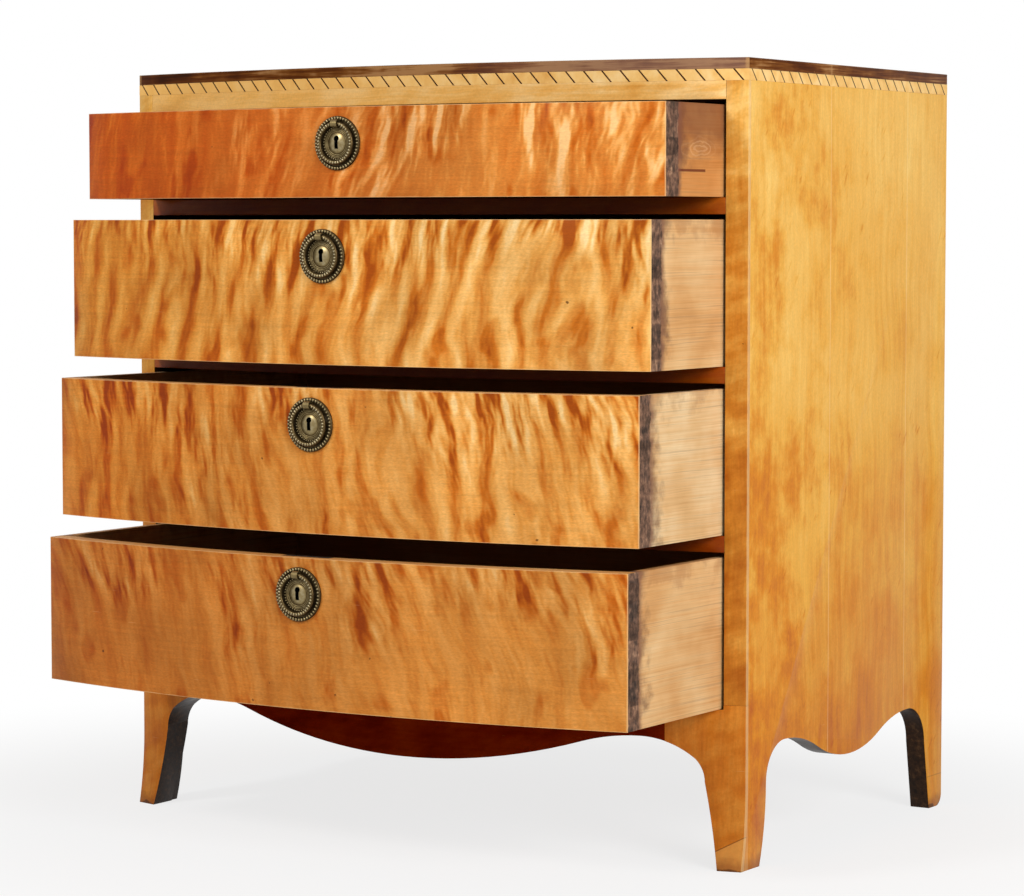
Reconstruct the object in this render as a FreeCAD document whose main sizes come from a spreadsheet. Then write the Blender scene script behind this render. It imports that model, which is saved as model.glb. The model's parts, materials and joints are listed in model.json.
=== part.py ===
"""Bow front chest of four drawers, standing on bracket feet.

Millimetres, +Z up, the bowed front faces -Y and X runs along the front.
The drawers stand open in a stagger, each lower one further, as the chest is shown.
The origin lies on the floor, under the middle of the whole stored shape.
"""
import FreeCAD, Part
import Sketcher
import os
import re

V = FreeCAD.Vector
DRAWERS = (1, 2, 3, 4)
BACK_BOARDS = 4

# Driving sizes
SIZES = {
    # Carcass
    "width": 812.0,
    "corner_depth": 486.0,
    "bow_rise": 50.0,
    "side_thickness": 24.0,
    "stile_facing": 5.0,
    "bottom_level": 171.5,
    "bottom_thickness": 18.0,
    "divider_thickness": 17.8,
    "divider_depth": 78.0,
    "top_rail_height": 19.6,
    "top_rail_depth": 64.0,
    "back_thickness": 12.0,
    "back_rebate": 12.0,
    "back_board_gap": 0.6,
    "runner_width": 24.0,
    "kicker_height": 16.0,
    # Top edge with its dark band over the striped inlay
    "band_height": 11.8,
    "inlay_height": 12.0,
    "edging_thickness": 4.0,
    "slip_width": 2.2,
    "slip_depth": 1.5,
    "slip_pitch": 21.0,
    "slip_lean": 10.5,
    # Apron, bracket feet and shaped sides
    "apron_thickness": 22.0,
    "apron_hang": 76.5,
    "apron_drop_share": 0.77,
    "arch_hang": 33.0,
    "arch_span": 62.0,
    "arch_radius": 100.0,
    "shoulder_in": 10.0,
    "shoulder_fall": 21.5,
    "knee_fall": 24.0,
    "knee_radius": 34.0,
    "leg_taper": 18.0,
    "sole_width": 26.0,
    "foot_width": 88.0,
    "foot_depth": 46.0,
    "bracket_depth": 28.0,
    "stile_foot_rise": 5.0,
    "toe_forward": 9.5,
    "sole_taper": 5.0,
    "toe_hang": 83.5,
    "side_arch_radius": 42.0,
    "side_drop_share": 0.504,
    "side_hang": 78.0,
    "heel_arch_in": 92.0,
    "heel_arch_hang": 46.0,
    "heel_arch_radius": 45.0,
    "heel_width": 33.0,
    "heel_radius": 14.0,
    # Drawers, counted from the top
    "drawer_height_1": 96.8,
    "drawer_height_2": 154.6,
    "drawer_height_3": 155.2,
    "drawer_height_4": 161.5,
    "open_1": 120.0,
    "open_2": 149.0,
    "open_3": 172.0,
    "open_4": 194.0,
    "tail_count_1": 3,
    "tail_count_2": 4,
    "tail_count_3": 4,
    "tail_count_4": 4,
    "running_gap": 0.3,
    "head_gap": 5.6,
    "drawer_side_gap": 4.0,
    "front_thickness": 21.0,
    "veneer": 1.5,
    "drawer_side": 11.0,
    "drawer_back": 10.0,
    "drawer_back_drop": 6.0,
    "drawer_bottom": 8.0,
    "drawer_bottom_rise": 10.0,
    "groove_depth": 5.0,
    "drawer_rear_gap": 14.0,
    "tail_length": 14.0,
    "tail_root": 17.0,
    "tail_tip": 23.0,
    "stop_out": 200.0,
    "stop_width": 40.0,
    "stop_depth": 14.0,
    "stop_height": 6.0,
    "stop_gap": 0.5,
    # Ring pulls
    "plate_thickness": 1.4,
    "plate_below_top": 39.0,
    "rim_width": 4.4,
    "rim_rise": 1.6,
    "rim_gap": 1.4,
    "boss_radius": 11.0,
    "boss_rise": 2.4,
    "ring_radius": 20.8,
    "ring_wire": 2.4,
    "ring_gap": 1.2,
    "knuckle_radius": 4.4,
    "knuckle_length": 7.6,
    "knuckle_gap": 0.7,
    "tang_radius": 2.0,
    "tang_length": 7.0,
    "keyhole_rise": 5.0,
    "keyhole_round": 3.0,
    "keyhole_slot": 3.2,
    "keyhole_foot": 4.4,
    "keyhole_length": 13.8,
    # Locks
    "lock_width": 62.0,
    "lock_height": 52.0,
    "lock_thickness": 12.0,
    "lock_proud": 1.0,
    "bolt_width": 18.0,
    "bolt_thickness": 6.0,
    "bolt_length": 30.0,
    "bolt_gap": 0.4,
    "bolt_sunk": 0.5,
    "bolt_entry": 2.9,
    "mortise_gap": 2.0,
    "keyhole_into_lock": 1.5,
    # Glue blocks under the bottom board
    "block_size": 18.0,
    "block_length": 54.0,
    "block_spacing": 150.0,
}

# Places and sizes worked out from the driving sizes
LAYOUT = {
    "half_width": "width / 2",
    "inner_half": "half_width - side_thickness",
    "drawer_half": "inner_half - drawer_side_gap",
    "drawer_inner_half": "drawer_half - drawer_side",
    "ring_centre": "plate_thickness + ring_gap + ring_wire",
    "pull_projection": "ring_centre + knuckle_radius",
    "furthest_open": "max(open_1; open_2; open_3; open_4)",
    "stored_depth": "corner_depth + bow_rise + furthest_open + pull_projection",
    "back_y": "stored_depth / 2",
    "corner_y": "back_y - corner_depth",
    "facing_y": "corner_y + stile_facing",
    "front_limit_y": "corner_y - bow_rise - front_thickness",
    "bow_radius": "(half_width^2 + bow_rise^2) / (2 * bow_rise)",
    "bow_centre_y": "corner_y - bow_rise + bow_radius",
    "back_face_y": "back_y - back_thickness",
    "divider_back_y": "corner_y + divider_depth",
    "top_rail_back_y": "corner_y + top_rail_depth",
    "front_back_radius": "bow_radius - front_thickness",
    "drawer_rear_y": "back_face_y - drawer_rear_gap",
    "side_front_y": "bow_centre_y - sqrt(front_back_radius^2 - drawer_inner_half^2)",
    # Levels from the floor up
    "zero": "0",
    "bottom_under": "bottom_level - bottom_thickness",
    "run_4": "bottom_level",
    "low_4": "run_4 + running_gap",
    "high_4": "low_4 + drawer_height_4",
    "head_4": "high_4 + head_gap",
    "run_3": "head_4 + divider_thickness",
    "low_3": "run_3 + running_gap",
    "high_3": "low_3 + drawer_height_3",
    "head_3": "high_3 + head_gap",
    "run_2": "head_3 + divider_thickness",
    "low_2": "run_2 + running_gap",
    "high_2": "low_2 + drawer_height_2",
    "head_2": "high_2 + head_gap",
    "run_1": "head_2 + divider_thickness",
    "low_1": "run_1 + running_gap",
    "high_1": "low_1 + drawer_height_1",
    "head_1": "high_1 + head_gap",
    "rail_top": "head_1 + top_rail_height",
    "inlay_top": "rail_top + inlay_height",
    "total_height": "inlay_top + band_height",
    "stile_bottom": "bottom_level + stile_foot_rise",
    # Front feet and apron
    "sole_inner_out": "half_width - sole_width",
    "knee_out": "sole_inner_out - leg_taper",
    "shoulder_out": "knee_out - shoulder_in",
    "arch_top_out": "shoulder_out - arch_span",
    "foot_inner_out": "half_width - foot_width",
    "apron_drop": "bottom_level - apron_hang",
    "arch_top": "bottom_level - arch_hang",
    "shoulder_height": "arch_top - shoulder_fall",
    "knee_height": "shoulder_height - knee_fall",
    "toe_rise": "bottom_level - toe_hang",
    "toe_radius": "(toe_rise^2 + toe_forward^2) / (2 * toe_forward)",
    "toe_front_y": "corner_y - toe_forward",
    "toe_facing_y": "facing_y - toe_forward",
    "foot_back_y": "corner_y + foot_depth",
    "bracket_back_y": "corner_y + bracket_depth",
    "toe_back_in": "toe_forward + sole_taper",
    "toe_back_y": "foot_back_y - toe_back_in",
    "toe_back_radius": "(toe_rise^2 + toe_back_in^2) / (2 * toe_back_in)",
    "foot_inner_y": "bow_centre_y - sqrt(bow_radius^2 - foot_inner_out^2)",
    "apron_rise": "arch_top - apron_drop",
    "apron_sum_radius": "(arch_top_out^2 + apron_rise^2) / (2 * apron_rise)",
    "apron_low_radius": "apron_drop_share * apron_sum_radius",
    "apron_high_radius": "apron_sum_radius - apron_low_radius",
    "apron_turn_out": "apron_drop_share * arch_top_out",
    "apron_turn_height": "apron_drop + apron_drop_share * apron_rise",
    # Lower outline of the side panels
    "side_arch_y": "foot_back_y + side_arch_radius",
    "side_arch_top": "toe_rise + side_arch_radius",
    "side_drop": "bottom_level - side_hang",
    "side_drop_y": "corner_y + side_drop_share * corner_depth",
    "side_turn_y": "(side_arch_y + side_drop_y) / 2",
    "side_turn_height": "(side_arch_top + side_drop) / 2",
    "side_fall": "side_arch_top - side_drop",
    "side_wave_radius": "((side_drop_y - side_arch_y)^2 + side_fall^2) / (4 * side_fall)",
    "heel_arch_top": "bottom_level - heel_arch_hang",
    "heel_arch_y": "back_y - heel_arch_in",
    "heel_turn_y": "(side_drop_y + heel_arch_y) / 2",
    "heel_turn_height": "(side_drop + heel_arch_top) / 2",
    "heel_climb": "heel_arch_top - side_drop",
    "heel_wave_radius": "((heel_arch_y - side_drop_y)^2 + heel_climb^2) / (4 * heel_climb)",
    "heel_knee_y": "heel_arch_y + heel_arch_radius",
    "heel_knee_height": "heel_arch_top - heel_arch_radius",
    "heel_front_y": "back_y - heel_width",
    "heel_round_y": "back_y - heel_radius",
    # Striped inlay
    "edging_half": "half_width - edging_thickness",
    "front_angle": "2 * asin(half_width / bow_radius)",
    "slip_angle": "slip_pitch / bow_radius * 180 deg / pi",
    "front_slips": "floor(front_angle / slip_angle)",
    "front_spread": "(front_slips - 1) * slip_angle",
    "side_slips": "floor(corner_depth / slip_pitch)",
    "side_spread": "(side_slips - 1) * slip_pitch",
    "first_side_slip_y": "corner_y + (corner_depth - side_spread) / 2",
    "slip_left": "-(slip_lean + slip_width) / 2",
    "slip_right": "-slip_left",
    "slip_top_right": "slip_left + slip_width",
    "slip_low_left": "slip_right - slip_width",
    "slip_back_radius": "bow_radius - slip_depth",
    "slip_back_half": "half_width - slip_depth",
    # Ring pulls, from the plate's own centre
    "rim_inner": "ring_radius + ring_wire + rim_gap",
    "rim_curve": "((rim_width / 2)^2 + rim_rise^2) / (2 * rim_rise)",
    "plate_radius": "rim_inner + rim_width",
    "plate_face": "-plate_thickness",
    "boss_curve": "(boss_radius^2 + boss_rise^2) / (2 * boss_rise)",
    "boss_face": "plate_face - boss_rise",
    "eye_radius": "ring_wire + knuckle_gap",
    "keyhole_low": "keyhole_round - keyhole_length",
    "keyhole_half_slot": "keyhole_slot / 2",
    "keyhole_half_foot": "keyhole_foot / 2",
    "keyhole_neck": "-sqrt(keyhole_round^2 - keyhole_half_slot^2)",
    "keyhole_depth": "front_thickness + lock_proud - lock_thickness + keyhole_into_lock + pull_projection",
    "bolt_throw": "bolt_sunk + head_gap + bolt_entry",
}
for number in DRAWERS:
    LAYOUT.update({
        f"face_y_{number}": f"corner_y - bow_rise - open_{number}",
        f"bow_centre_y_{number}": f"bow_centre_y - open_{number}",
        f"side_front_y_{number}": f"side_front_y - open_{number}",
        f"tail_tip_y_{number}": f"side_front_y_{number} - tail_length",
        f"side_rear_y_{number}": f"drawer_rear_y - open_{number}",
        f"tail_pitch_{number}": f"drawer_height_{number} / tail_count_{number}",
        f"tail_middle_{number}": f"low_{number} + tail_pitch_{number} / 2",
        f"tail_root_low_{number}": f"tail_middle_{number} - tail_root / 2",
        f"tail_root_high_{number}": f"tail_middle_{number} + tail_root / 2",
        f"tail_tip_low_{number}": f"tail_middle_{number} - tail_tip / 2",
        f"tail_tip_high_{number}": f"tail_middle_{number} + tail_tip / 2",
        f"floor_low_{number}": f"low_{number} + drawer_bottom_rise",
        f"floor_high_{number}": f"floor_low_{number} + drawer_bottom",
        f"pull_z_{number}": f"high_{number} - plate_below_top",
        f"ring_y_{number}": f"face_y_{number} - ring_centre",
        f"hinge_z_{number}": f"pull_z_{number} + ring_radius",
        f"lock_back_y_{number}": f"face_y_{number} + front_thickness + lock_proud",
        f"lock_front_y_{number}": f"lock_back_y_{number} - lock_thickness",
        f"bolt_y_{number}": f"(lock_back_y_{number} + lock_front_y_{number}) / 2 + bolt_gap",
        f"bolt_high_{number}": f"high_{number} - bolt_sunk",
        f"bolt_low_{number}": f"bolt_high_{number} - bolt_length",
    })

doc = FreeCAD.newDocument("bow_front_chest")
NODES = {}


def fill_sheet(name, cells):
    """A sheet with one named cell in each row."""
    sheet = doc.addObject("Spreadsheet::Sheet", name)
    for row, (alias, content) in enumerate(cells.items(), start=1):
        sheet.set(f"A{row}", alias)
        sheet.set(f"B{row}", str(content))
        sheet.setAlias(f"B{row}", alias)
    doc.recompute()
    return sheet


def bound(text):
    """The expression in which each named size says which sheet holds it."""
    def with_sheet(match):
        word = match.group(0)
        if word in SIZES:
            return f"Sizes.{word}"
        if word in LAYOUT:
            return f"Layout.{word}"
        return word
    return re.sub(r"[a-z]\w*", with_sheet, text)


sizes = fill_sheet("Sizes", SIZES)
layout = fill_sheet("Layout", {name: "=" + bound(formula) for name, formula in LAYOUT.items()})


def value(term):
    """The present number of a size's name, which may have a minus in front."""
    name = term.lstrip("-")
    sheet = sizes if name in SIZES else layout
    number = sheet.get(name)
    number = getattr(number, "Value", number)
    return -number if term.startswith("-") else number


def bind(item, **expressions):
    """Binds properties of an object; a double underscore in a name stands for a dot."""
    for path, text in expressions.items():
        item.setExpression(path.replace("__", "."), bound(text))


def place(item, x="0", y="0", z="0"):
    bind(item, Placement__Base__x=x, Placement__Base__y=y, Placement__Base__z=z)


def node(name, item):
    """Makes an object a named piece of the chest."""
    item.Label = name
    NODES[name] = item
    return item


def board(name, x, y, z):
    """A squared board between two bounds on each axis."""
    item = doc.addObject("Part::Box", name)
    bind(item, Length=f"{x[1]} - ({x[0]})", Width=f"{y[1]} - ({y[0]})", Height=f"{z[1]} - ({z[0]})")
    place(item, x[0], y[0], z[0])
    return item


def upright_cylinder(name, radius, y):
    """A cylinder as tall as the chest, on the line that the bow is struck from."""
    item = doc.addObject("Part::Cylinder", name)
    bind(item, Radius=radius, Height="total_height")
    place(item, y=y)
    return item


def lying_cylinder(name, axis, radius, length, x, y, z):
    """A cylinder along X or Y that starts at a point."""
    item = doc.addObject("Part::Cylinder", name)
    turn = FreeCAD.Rotation(V(0, 0, 1), axis)
    item.Placement = FreeCAD.Placement(V(0, 0, 0), turn)
    bind(item, Radius=radius, Height=length)
    place(item, x, y, z)
    return item


def cut(name, base, tool):
    item = doc.addObject("Part::Cut", name)
    item.Base = base
    item.Tool = tool
    return item


def common(name, base, tool):
    item = doc.addObject("Part::Common", name)
    item.Base = base
    item.Tool = tool
    return item


def fuse(name, base, tool):
    item = doc.addObject("Part::Fuse", name)
    item.Base = base
    item.Tool = tool
    return item


def group(name, items):
    item = doc.addObject("Part::Compound", name)
    item.Links = items
    return item


def mirrored(name, item):
    """The same piece for the other side of the chest."""
    copy = doc.addObject("Part::Mirroring", name)
    copy.Source = item
    copy.Base = V(0, 0, 0)
    copy.Normal = V(1, 0, 0)
    return copy


def origin_item(body, role):
    for feature in body.Origin.OriginFeatures:
        if feature.Role == role:
            return feature
    raise LookupError(role)


def new_sketch(body, name, plane, height=None):
    sketch = body.newObject("Sketcher::SketchObject", name)
    sketch.AttachmentSupport = [(origin_item(body, plane), "")]
    sketch.MapMode = "FlatFace"
    if height:
        sketch.setExpression("AttachmentOffset.Base.z", bound(height))
    return sketch


def add_edge(sketch, start, end, bend=None):
    """A line, or a short arc with a radius that bulges to the left (1) or right (-1) of its run."""
    if bend is None:
        return sketch.addGeometry(Part.LineSegment(start, end)), 1, 2
    radius, side = bend
    chord = end - start
    half = chord.Length / 2
    rise = value(radius) - max(value(radius) ** 2 - half * half, 0.0) ** 0.5
    left = V(-chord.y, chord.x, 0)
    left.normalize()
    middle = start + chord * 0.5 + left * (rise * side)
    first, last = (end, start) if side > 0 else (start, end)
    edge = sketch.addGeometry(Part.Arc(first, middle, last))
    hold_size(sketch, Sketcher.Constraint("Radius", edge, value(radius)), radius)
    return (edge, 2, 1) if side > 0 else (edge, 1, 2)


def outline(sketch, corners, bends=None, closed=True):
    """A line through named corners; bends maps an edge's number to a radius and a side."""
    bends = bends or {}
    spots = [V(value(u), value(v), 0) for u, v in corners]
    owners = {}
    for index in range(len(spots) if closed else len(spots) - 1):
        following = (index + 1) % len(spots)
        edge, near, far = add_edge(sketch, spots[index], spots[following], bends.get(index))
        hold_corner(sketch, owners, index, (edge, near), corners[index])
        hold_corner(sketch, owners, following, (edge, far), corners[following])


def hold_size(sketch, constraint, term):
    number = sketch.addConstraint(constraint)
    sketch.setExpression(f"Constraints[{number}]", bound(term))


def hold_corner(sketch, owners, index, end, corner):
    """Ties an edge's end to its named corner, or to the edge that already holds that corner."""
    if index in owners:
        sketch.addConstraint(Sketcher.Constraint("Coincident", *owners[index], *end))
        return
    owners[index] = end
    for kind, term in zip(("DistanceX", "DistanceY"), corner):
        hold_size(sketch, Sketcher.Constraint(kind, -1, 1, *end, value(term)), term)


def pad(body, sketch, name, length, both_ways=False):
    feature = body.newObject("PartDesign::Pad", name)
    feature.Profile = sketch
    feature.setExpression("Length", bound(length))
    feature.Midplane = both_ways
    return feature


def new_body(name):
    return doc.addObject("PartDesign::Body", name)


# Top board, its dark edge band and the striped inlay

def edging(name, low, high, bow_face, band_back):
    """A strip round the front and sides of the top."""
    levels = (low, high)
    whole = board(name + "_blank", ("-half_width", "half_width"), ("front_limit_y", "back_y"), levels)
    core = board(name + "_core", ("-edging_half", "edging_half"), ("front_limit_y", "back_y"), levels)
    outer = common(name + "_outer", whole, bow_face)
    inner = common(name + "_inner", core, band_back)
    return cut(name, outer, inner)


def front_slips():
    """Slanted slips let into the bowed front, turned about the line that the bow is struck from."""
    body = new_body("front_slips")
    sketch = new_sketch(body, "front_slip_outline", "XZ_Plane", "slip_back_radius")
    outline(sketch, [("slip_left", "inlay_top"), ("slip_top_right", "inlay_top"),
                     ("slip_right", "rail_top"), ("slip_low_left", "rail_top")])
    slip = pad(body, sketch, "front_slip", "2 * slip_depth")
    turn = body.newObject("PartDesign::PolarPattern", "front_slip_row")
    turn.Originals = [slip]
    turn.Axis = (origin_item(body, "Z_Axis"), [""])
    bind(turn, Angle="front_spread", Occurrences="front_slips")
    body.Tip = turn
    place(body, y="bow_centre_y")
    body.setExpression("Placement.Rotation.Angle", bound("-front_spread / 2"))
    return body


def side_slips():
    """The same slips along the right-hand end of the top."""
    body = new_body("side_slips")
    sketch = new_sketch(body, "side_slip_outline", "YZ_Plane", "slip_back_half")
    outline(sketch, [("slip_left", "inlay_top"), ("slip_top_right", "inlay_top"),
                     ("slip_right", "rail_top"), ("slip_low_left", "rail_top")])
    slip = pad(body, sketch, "side_slip", "2 * slip_depth")
    row = body.newObject("PartDesign::LinearPattern", "side_slip_row")
    row.Originals = [slip]
    row.Direction = (origin_item(body, "Y_Axis"), [""])
    bind(row, Length="side_spread", Occurrences="side_slips")
    body.Tip = row
    place(body, y="first_side_slip_y")
    return body


def make_top(bow_face):
    band_back = upright_cylinder("band_back", "bow_radius - edging_thickness", "bow_centre_y")
    core = board("top_blank", ("-edging_half", "edging_half"), ("front_limit_y", "back_y"),
                 ("rail_top", "total_height"))
    node("top_board", common("top_board", core, band_back))
    node("top_edge_band", edging("edge_band", "inlay_top", "total_height", bow_face, band_back))
    inlay = edging("inlay_strip", "rail_top", "inlay_top", bow_face, band_back)
    right_slips = side_slips()
    slips = group("slips", [front_slips(), right_slips, mirrored("left_slips", right_slips)])
    node("inlay_band", cut("inlay_band", inlay, slips))
    node("inlay_lines", common("inlay_lines", inlay, slips))


# Rails across the front, with the mortises that the lock bolts enter

def bolt_mortise(number):
    closed_bolt = f"bolt_y_{number} + open_{number}"
    reach = "bolt_thickness / 2 + mortise_gap"
    return board(f"bolt_mortise_{number}",
                 ("-bolt_width / 2 - mortise_gap", "bolt_width / 2 + mortise_gap"),
                 (f"{closed_bolt} - {reach}", f"{closed_bolt} + {reach}"),
                 (f"head_{number}", f"head_{number} + bolt_entry + mortise_gap"))


def front_rail(name, number, back, top, bow_face):
    """A rail over a drawer, sawn to the bow."""
    blank = board(name + "_blank", ("-inner_half", "inner_half"), ("front_limit_y", back),
                  (f"head_{number}", top))
    bowed = common(name + "_bowed", blank, bow_face)
    node(name, cut(name, bowed, bolt_mortise(number)))


def make_rails(bow_face):
    front_rail("top_rail", 1, "top_rail_back_y", "rail_top", bow_face)
    for number in (1, 2, 3):
        front_rail(f"divider_rail_{number}", number + 1, "divider_back_y", f"run_{number}", bow_face)


def make_runners():
    """Runners behind the dividers on both sides, and kickers that keep the top drawer level."""
    right = ("inner_half - runner_width", "inner_half")
    strips = []
    for number in (1, 2, 3):
        levels = (f"head_{number + 1}", f"run_{number}")
        strips.append(board(f"runner_right_{number}", right, ("divider_back_y", "back_face_y"), levels))
    levels = ("rail_top - kicker_height", "rail_top")
    strips.append(board("kicker_right", right, ("top_rail_back_y", "back_face_y"), levels))
    strips += [mirrored(strip.Name + "_mirrored", strip) for strip in strips]
    node("drawer_runners", group("drawer_runners", strips))


def make_stops():
    """Blocks on each rail that the closed drawer front comes up against."""
    front = "bow_centre_y - sqrt(front_back_radius^2 - stop_out^2) + stop_gap"
    blocks = []
    for number in DRAWERS:
        block = board(f"stop_right_{number}", ("stop_out - stop_width", "stop_out"),
                      (front, f"{front} + stop_depth"), (f"run_{number}", f"run_{number} + stop_height"))
        blocks += [block, mirrored(f"stop_left_{number}", block)]
    node("drawer_stops", group("drawer_stops", blocks))


# Sides, stiles, back and bottom

def side_panel(name, x, back_boards):
    """A board whose lower edge is sawn to a foot, an arch, a drop, an arch and a heel."""
    body = new_body(name + "_board")
    sketch = new_sketch(body, name + "_outline", "YZ_Plane")
    corners = [("facing_y", "rail_top"), ("facing_y", "toe_rise"), ("toe_facing_y", "zero"),
               ("toe_back_y", "zero"), ("foot_back_y", "toe_rise"), ("side_arch_y", "side_arch_top"),
               ("side_turn_y", "side_turn_height"), ("side_drop_y", "side_drop"),
               ("heel_turn_y", "heel_turn_height"), ("heel_arch_y", "heel_arch_top"),
               ("heel_knee_y", "heel_knee_height"), ("heel_front_y", "zero"), ("heel_round_y", "zero"),
               ("back_y", "heel_radius"), ("back_y", "rail_top")]
    bends = {1: ("toe_radius", 1), 3: ("toe_back_radius", -1), 4: ("side_arch_radius", 1),
            5: ("side_wave_radius", 1), 6: ("side_wave_radius", -1), 7: ("heel_wave_radius", -1),
            8: ("heel_wave_radius", 1), 9: ("heel_arch_radius", 1), 12: ("heel_radius", -1)}
    outline(sketch, corners, bends)
    body.Tip = pad(body, sketch, name + "_thickness", "side_thickness")
    place(body, x=x)
    node(name, cut(name, body, back_boards))


def make_back():
    """Upright boards in the rebates of the sides."""
    reach = "(inner_half + back_rebate)"
    boards = []
    for index in range(BACK_BOARDS):
        left = f"{reach} * {2 * index - BACK_BOARDS} / {BACK_BOARDS}"
        right = f"{reach} * {2 * index + 2 - BACK_BOARDS} / {BACK_BOARDS}"
        if index > 0:
            left += " + back_board_gap / 2"
        if index < BACK_BOARDS - 1:
            right += " - back_board_gap / 2"
        boards.append(board(f"back_board_{index + 1}", (left, right), ("back_face_y", "back_y"),
                            ("bottom_under", "rail_top")))
    return node("back_boards", group("back_boards", boards))


def make_stiles(bow_face):
    blank = board("stile_blank", ("inner_half", "half_width"), ("front_limit_y", "facing_y"),
                  ("stile_bottom", "rail_top"))
    right = node("front_stile_right", common("front_stile_right", blank, bow_face))
    node("front_stile_left", mirrored("front_stile_left", right))


# Apron, front feet and what lies behind them

def under_arch():
    """The open space under the front: leg, knee, arch, central drop and the same again."""
    body = new_body("under_arch")
    sketch = new_sketch(body, "under_arch_outline", "XZ_Plane")
    right = [("sole_inner_out", "zero"), ("knee_out", "knee_height"), ("shoulder_out", "shoulder_height"),
             ("arch_top_out", "arch_top"), ("apron_turn_out", "apron_turn_height"), ("zero", "apron_drop")]
    left = [("-" + out, height) for out, height in reversed(right[:-1])]
    curves = [("knee_radius", -1), ("arch_radius", -1), ("apron_high_radius", -1), ("apron_low_radius", 1)]
    bends = dict(enumerate(curves + curves[::-1], start=1))
    outline(sketch, right + left, bends)
    body.Tip = pad(body, sketch, "under_arch_depth", "2 * stored_depth", both_ways=True)
    return body


def front_foot(arch, bottom):
    """A bracket foot: the bowed plan of the corner carried down a path that swings forward at the toe."""
    body = new_body("foot_block")
    plan = new_sketch(body, "foot_plan", "XY_Plane", "stile_bottom")
    outline(plan, [("foot_inner_out", "foot_inner_y"), ("half_width", "corner_y"), ("half_width", "facing_y"),
                   ("inner_half", "facing_y"), ("inner_half", "bracket_back_y"),
                   ("foot_inner_out", "bracket_back_y")], {0: ("bow_radius", -1)})
    path = new_sketch(body, "toe_path", "YZ_Plane")
    outline(path, [("corner_y", "stile_bottom"), ("corner_y", "toe_rise"), ("toe_front_y", "zero")],
            {1: ("toe_radius", 1)}, closed=False)
    doc.recompute()
    sweep = body.newObject("PartDesign::AdditivePipe", "foot_sweep")
    sweep.Profile = plan
    sweep.Spine = (path, ["Edge1", "Edge2"])
    sweep.Mode = "Fixed"
    body.Tip = sweep
    drawer_space = board("foot_drawer_space", ("foot_inner_out - foot_depth", "inner_half"),
                         ("front_limit_y", "back_y"), ("bottom_level", "stile_bottom + foot_depth"))
    under_drawer = cut("foot_under_drawer", body, drawer_space)
    under_bottom = cut("foot_under_bottom", under_drawer, bottom)
    right = node("front_foot_right", cut("front_foot_right", under_bottom, arch))
    node("front_foot_left", mirrored("front_foot_left", right))


def make_base(bow_face):
    apron_back = upright_cylinder("apron_back", "bow_radius - apron_thickness", "bow_centre_y")
    blank = board("bottom_blank", ("-inner_half", "inner_half"), ("front_limit_y", "back_face_y"),
                  ("bottom_under", "bottom_level"))
    bottom = node("bottom_board", common("bottom_board", blank, apron_back))
    arch = under_arch()
    front_foot(arch, bottom)
    blank = board("apron_blank", ("-foot_inner_out", "foot_inner_out"), ("front_limit_y", "foot_back_y"),
                  ("knee_height", "bottom_level"))
    bowed = common("apron_bowed", blank, bow_face)
    hollowed = cut("apron_hollowed", bowed, apron_back)
    node("apron", cut("apron", hollowed, arch))
    make_glue_blocks(apron_back)


def make_glue_blocks(apron_back):
    """Blocks that hold the bottom board to the apron and to the sides."""
    levels = ("bottom_under - block_size", "bottom_under")
    blocks = []
    for index, place_out in enumerate(("-block_spacing", "zero", "block_spacing")):
        across = (f"{place_out} - block_length / 2", f"{place_out} + block_length / 2")
        back = f"bow_centre_y - sqrt((bow_radius - apron_thickness)^2 - ({place_out})^2) + block_size"
        blank = board(f"apron_block_blank_{index}", across, ("front_limit_y", back), levels)
        blocks.append(common(f"apron_block_{index}", blank, apron_back))
    for index, middle in enumerate(("side_arch_y", "heel_arch_y")):
        along = (f"{middle} - block_length / 2", f"{middle} + block_length / 2")
        block = board(f"side_block_{index}", ("inner_half - block_size", "inner_half"), along, levels)
        blocks += [block, mirrored(f"side_block_{index}_mirrored", block)]
    node("glue_blocks", group("glue_blocks", blocks))


# Drawers

def drawer_side(number, name, x):
    """A drawer side with a row of tails that enter the end of the front."""
    body = new_body(name)
    n = number
    sketch = new_sketch(body, name + "_outline", "YZ_Plane")
    outline(sketch, [(f"side_front_y_{n}", f"low_{n}"), (f"side_rear_y_{n}", f"low_{n}"),
                     (f"side_rear_y_{n}", f"high_{n}"), (f"side_front_y_{n}", f"high_{n}")])
    pad(body, sketch, name + "_thickness", "drawer_side")
    tail_sketch = new_sketch(body, name + "_tail_outline", "YZ_Plane")
    outline(tail_sketch, [(f"tail_tip_y_{n}", f"tail_tip_low_{n}"), (f"side_front_y_{n}", f"tail_root_low_{n}"),
                          (f"side_front_y_{n}", f"tail_root_high_{n}"), (f"tail_tip_y_{n}", f"tail_tip_high_{n}")])
    tail = pad(body, tail_sketch, name + "_tail", "drawer_side")
    row = body.newObject("PartDesign::LinearPattern", name + "_tails")
    row.Originals = [tail]
    row.Direction = (origin_item(body, "Z_Axis"), [""])
    bind(row, Length=f"tail_pitch_{n} * (tail_count_{n} - 1)", Occurrences=f"tail_count_{n}")
    body.Tip = row
    place(body, x=x)
    return body


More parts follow.
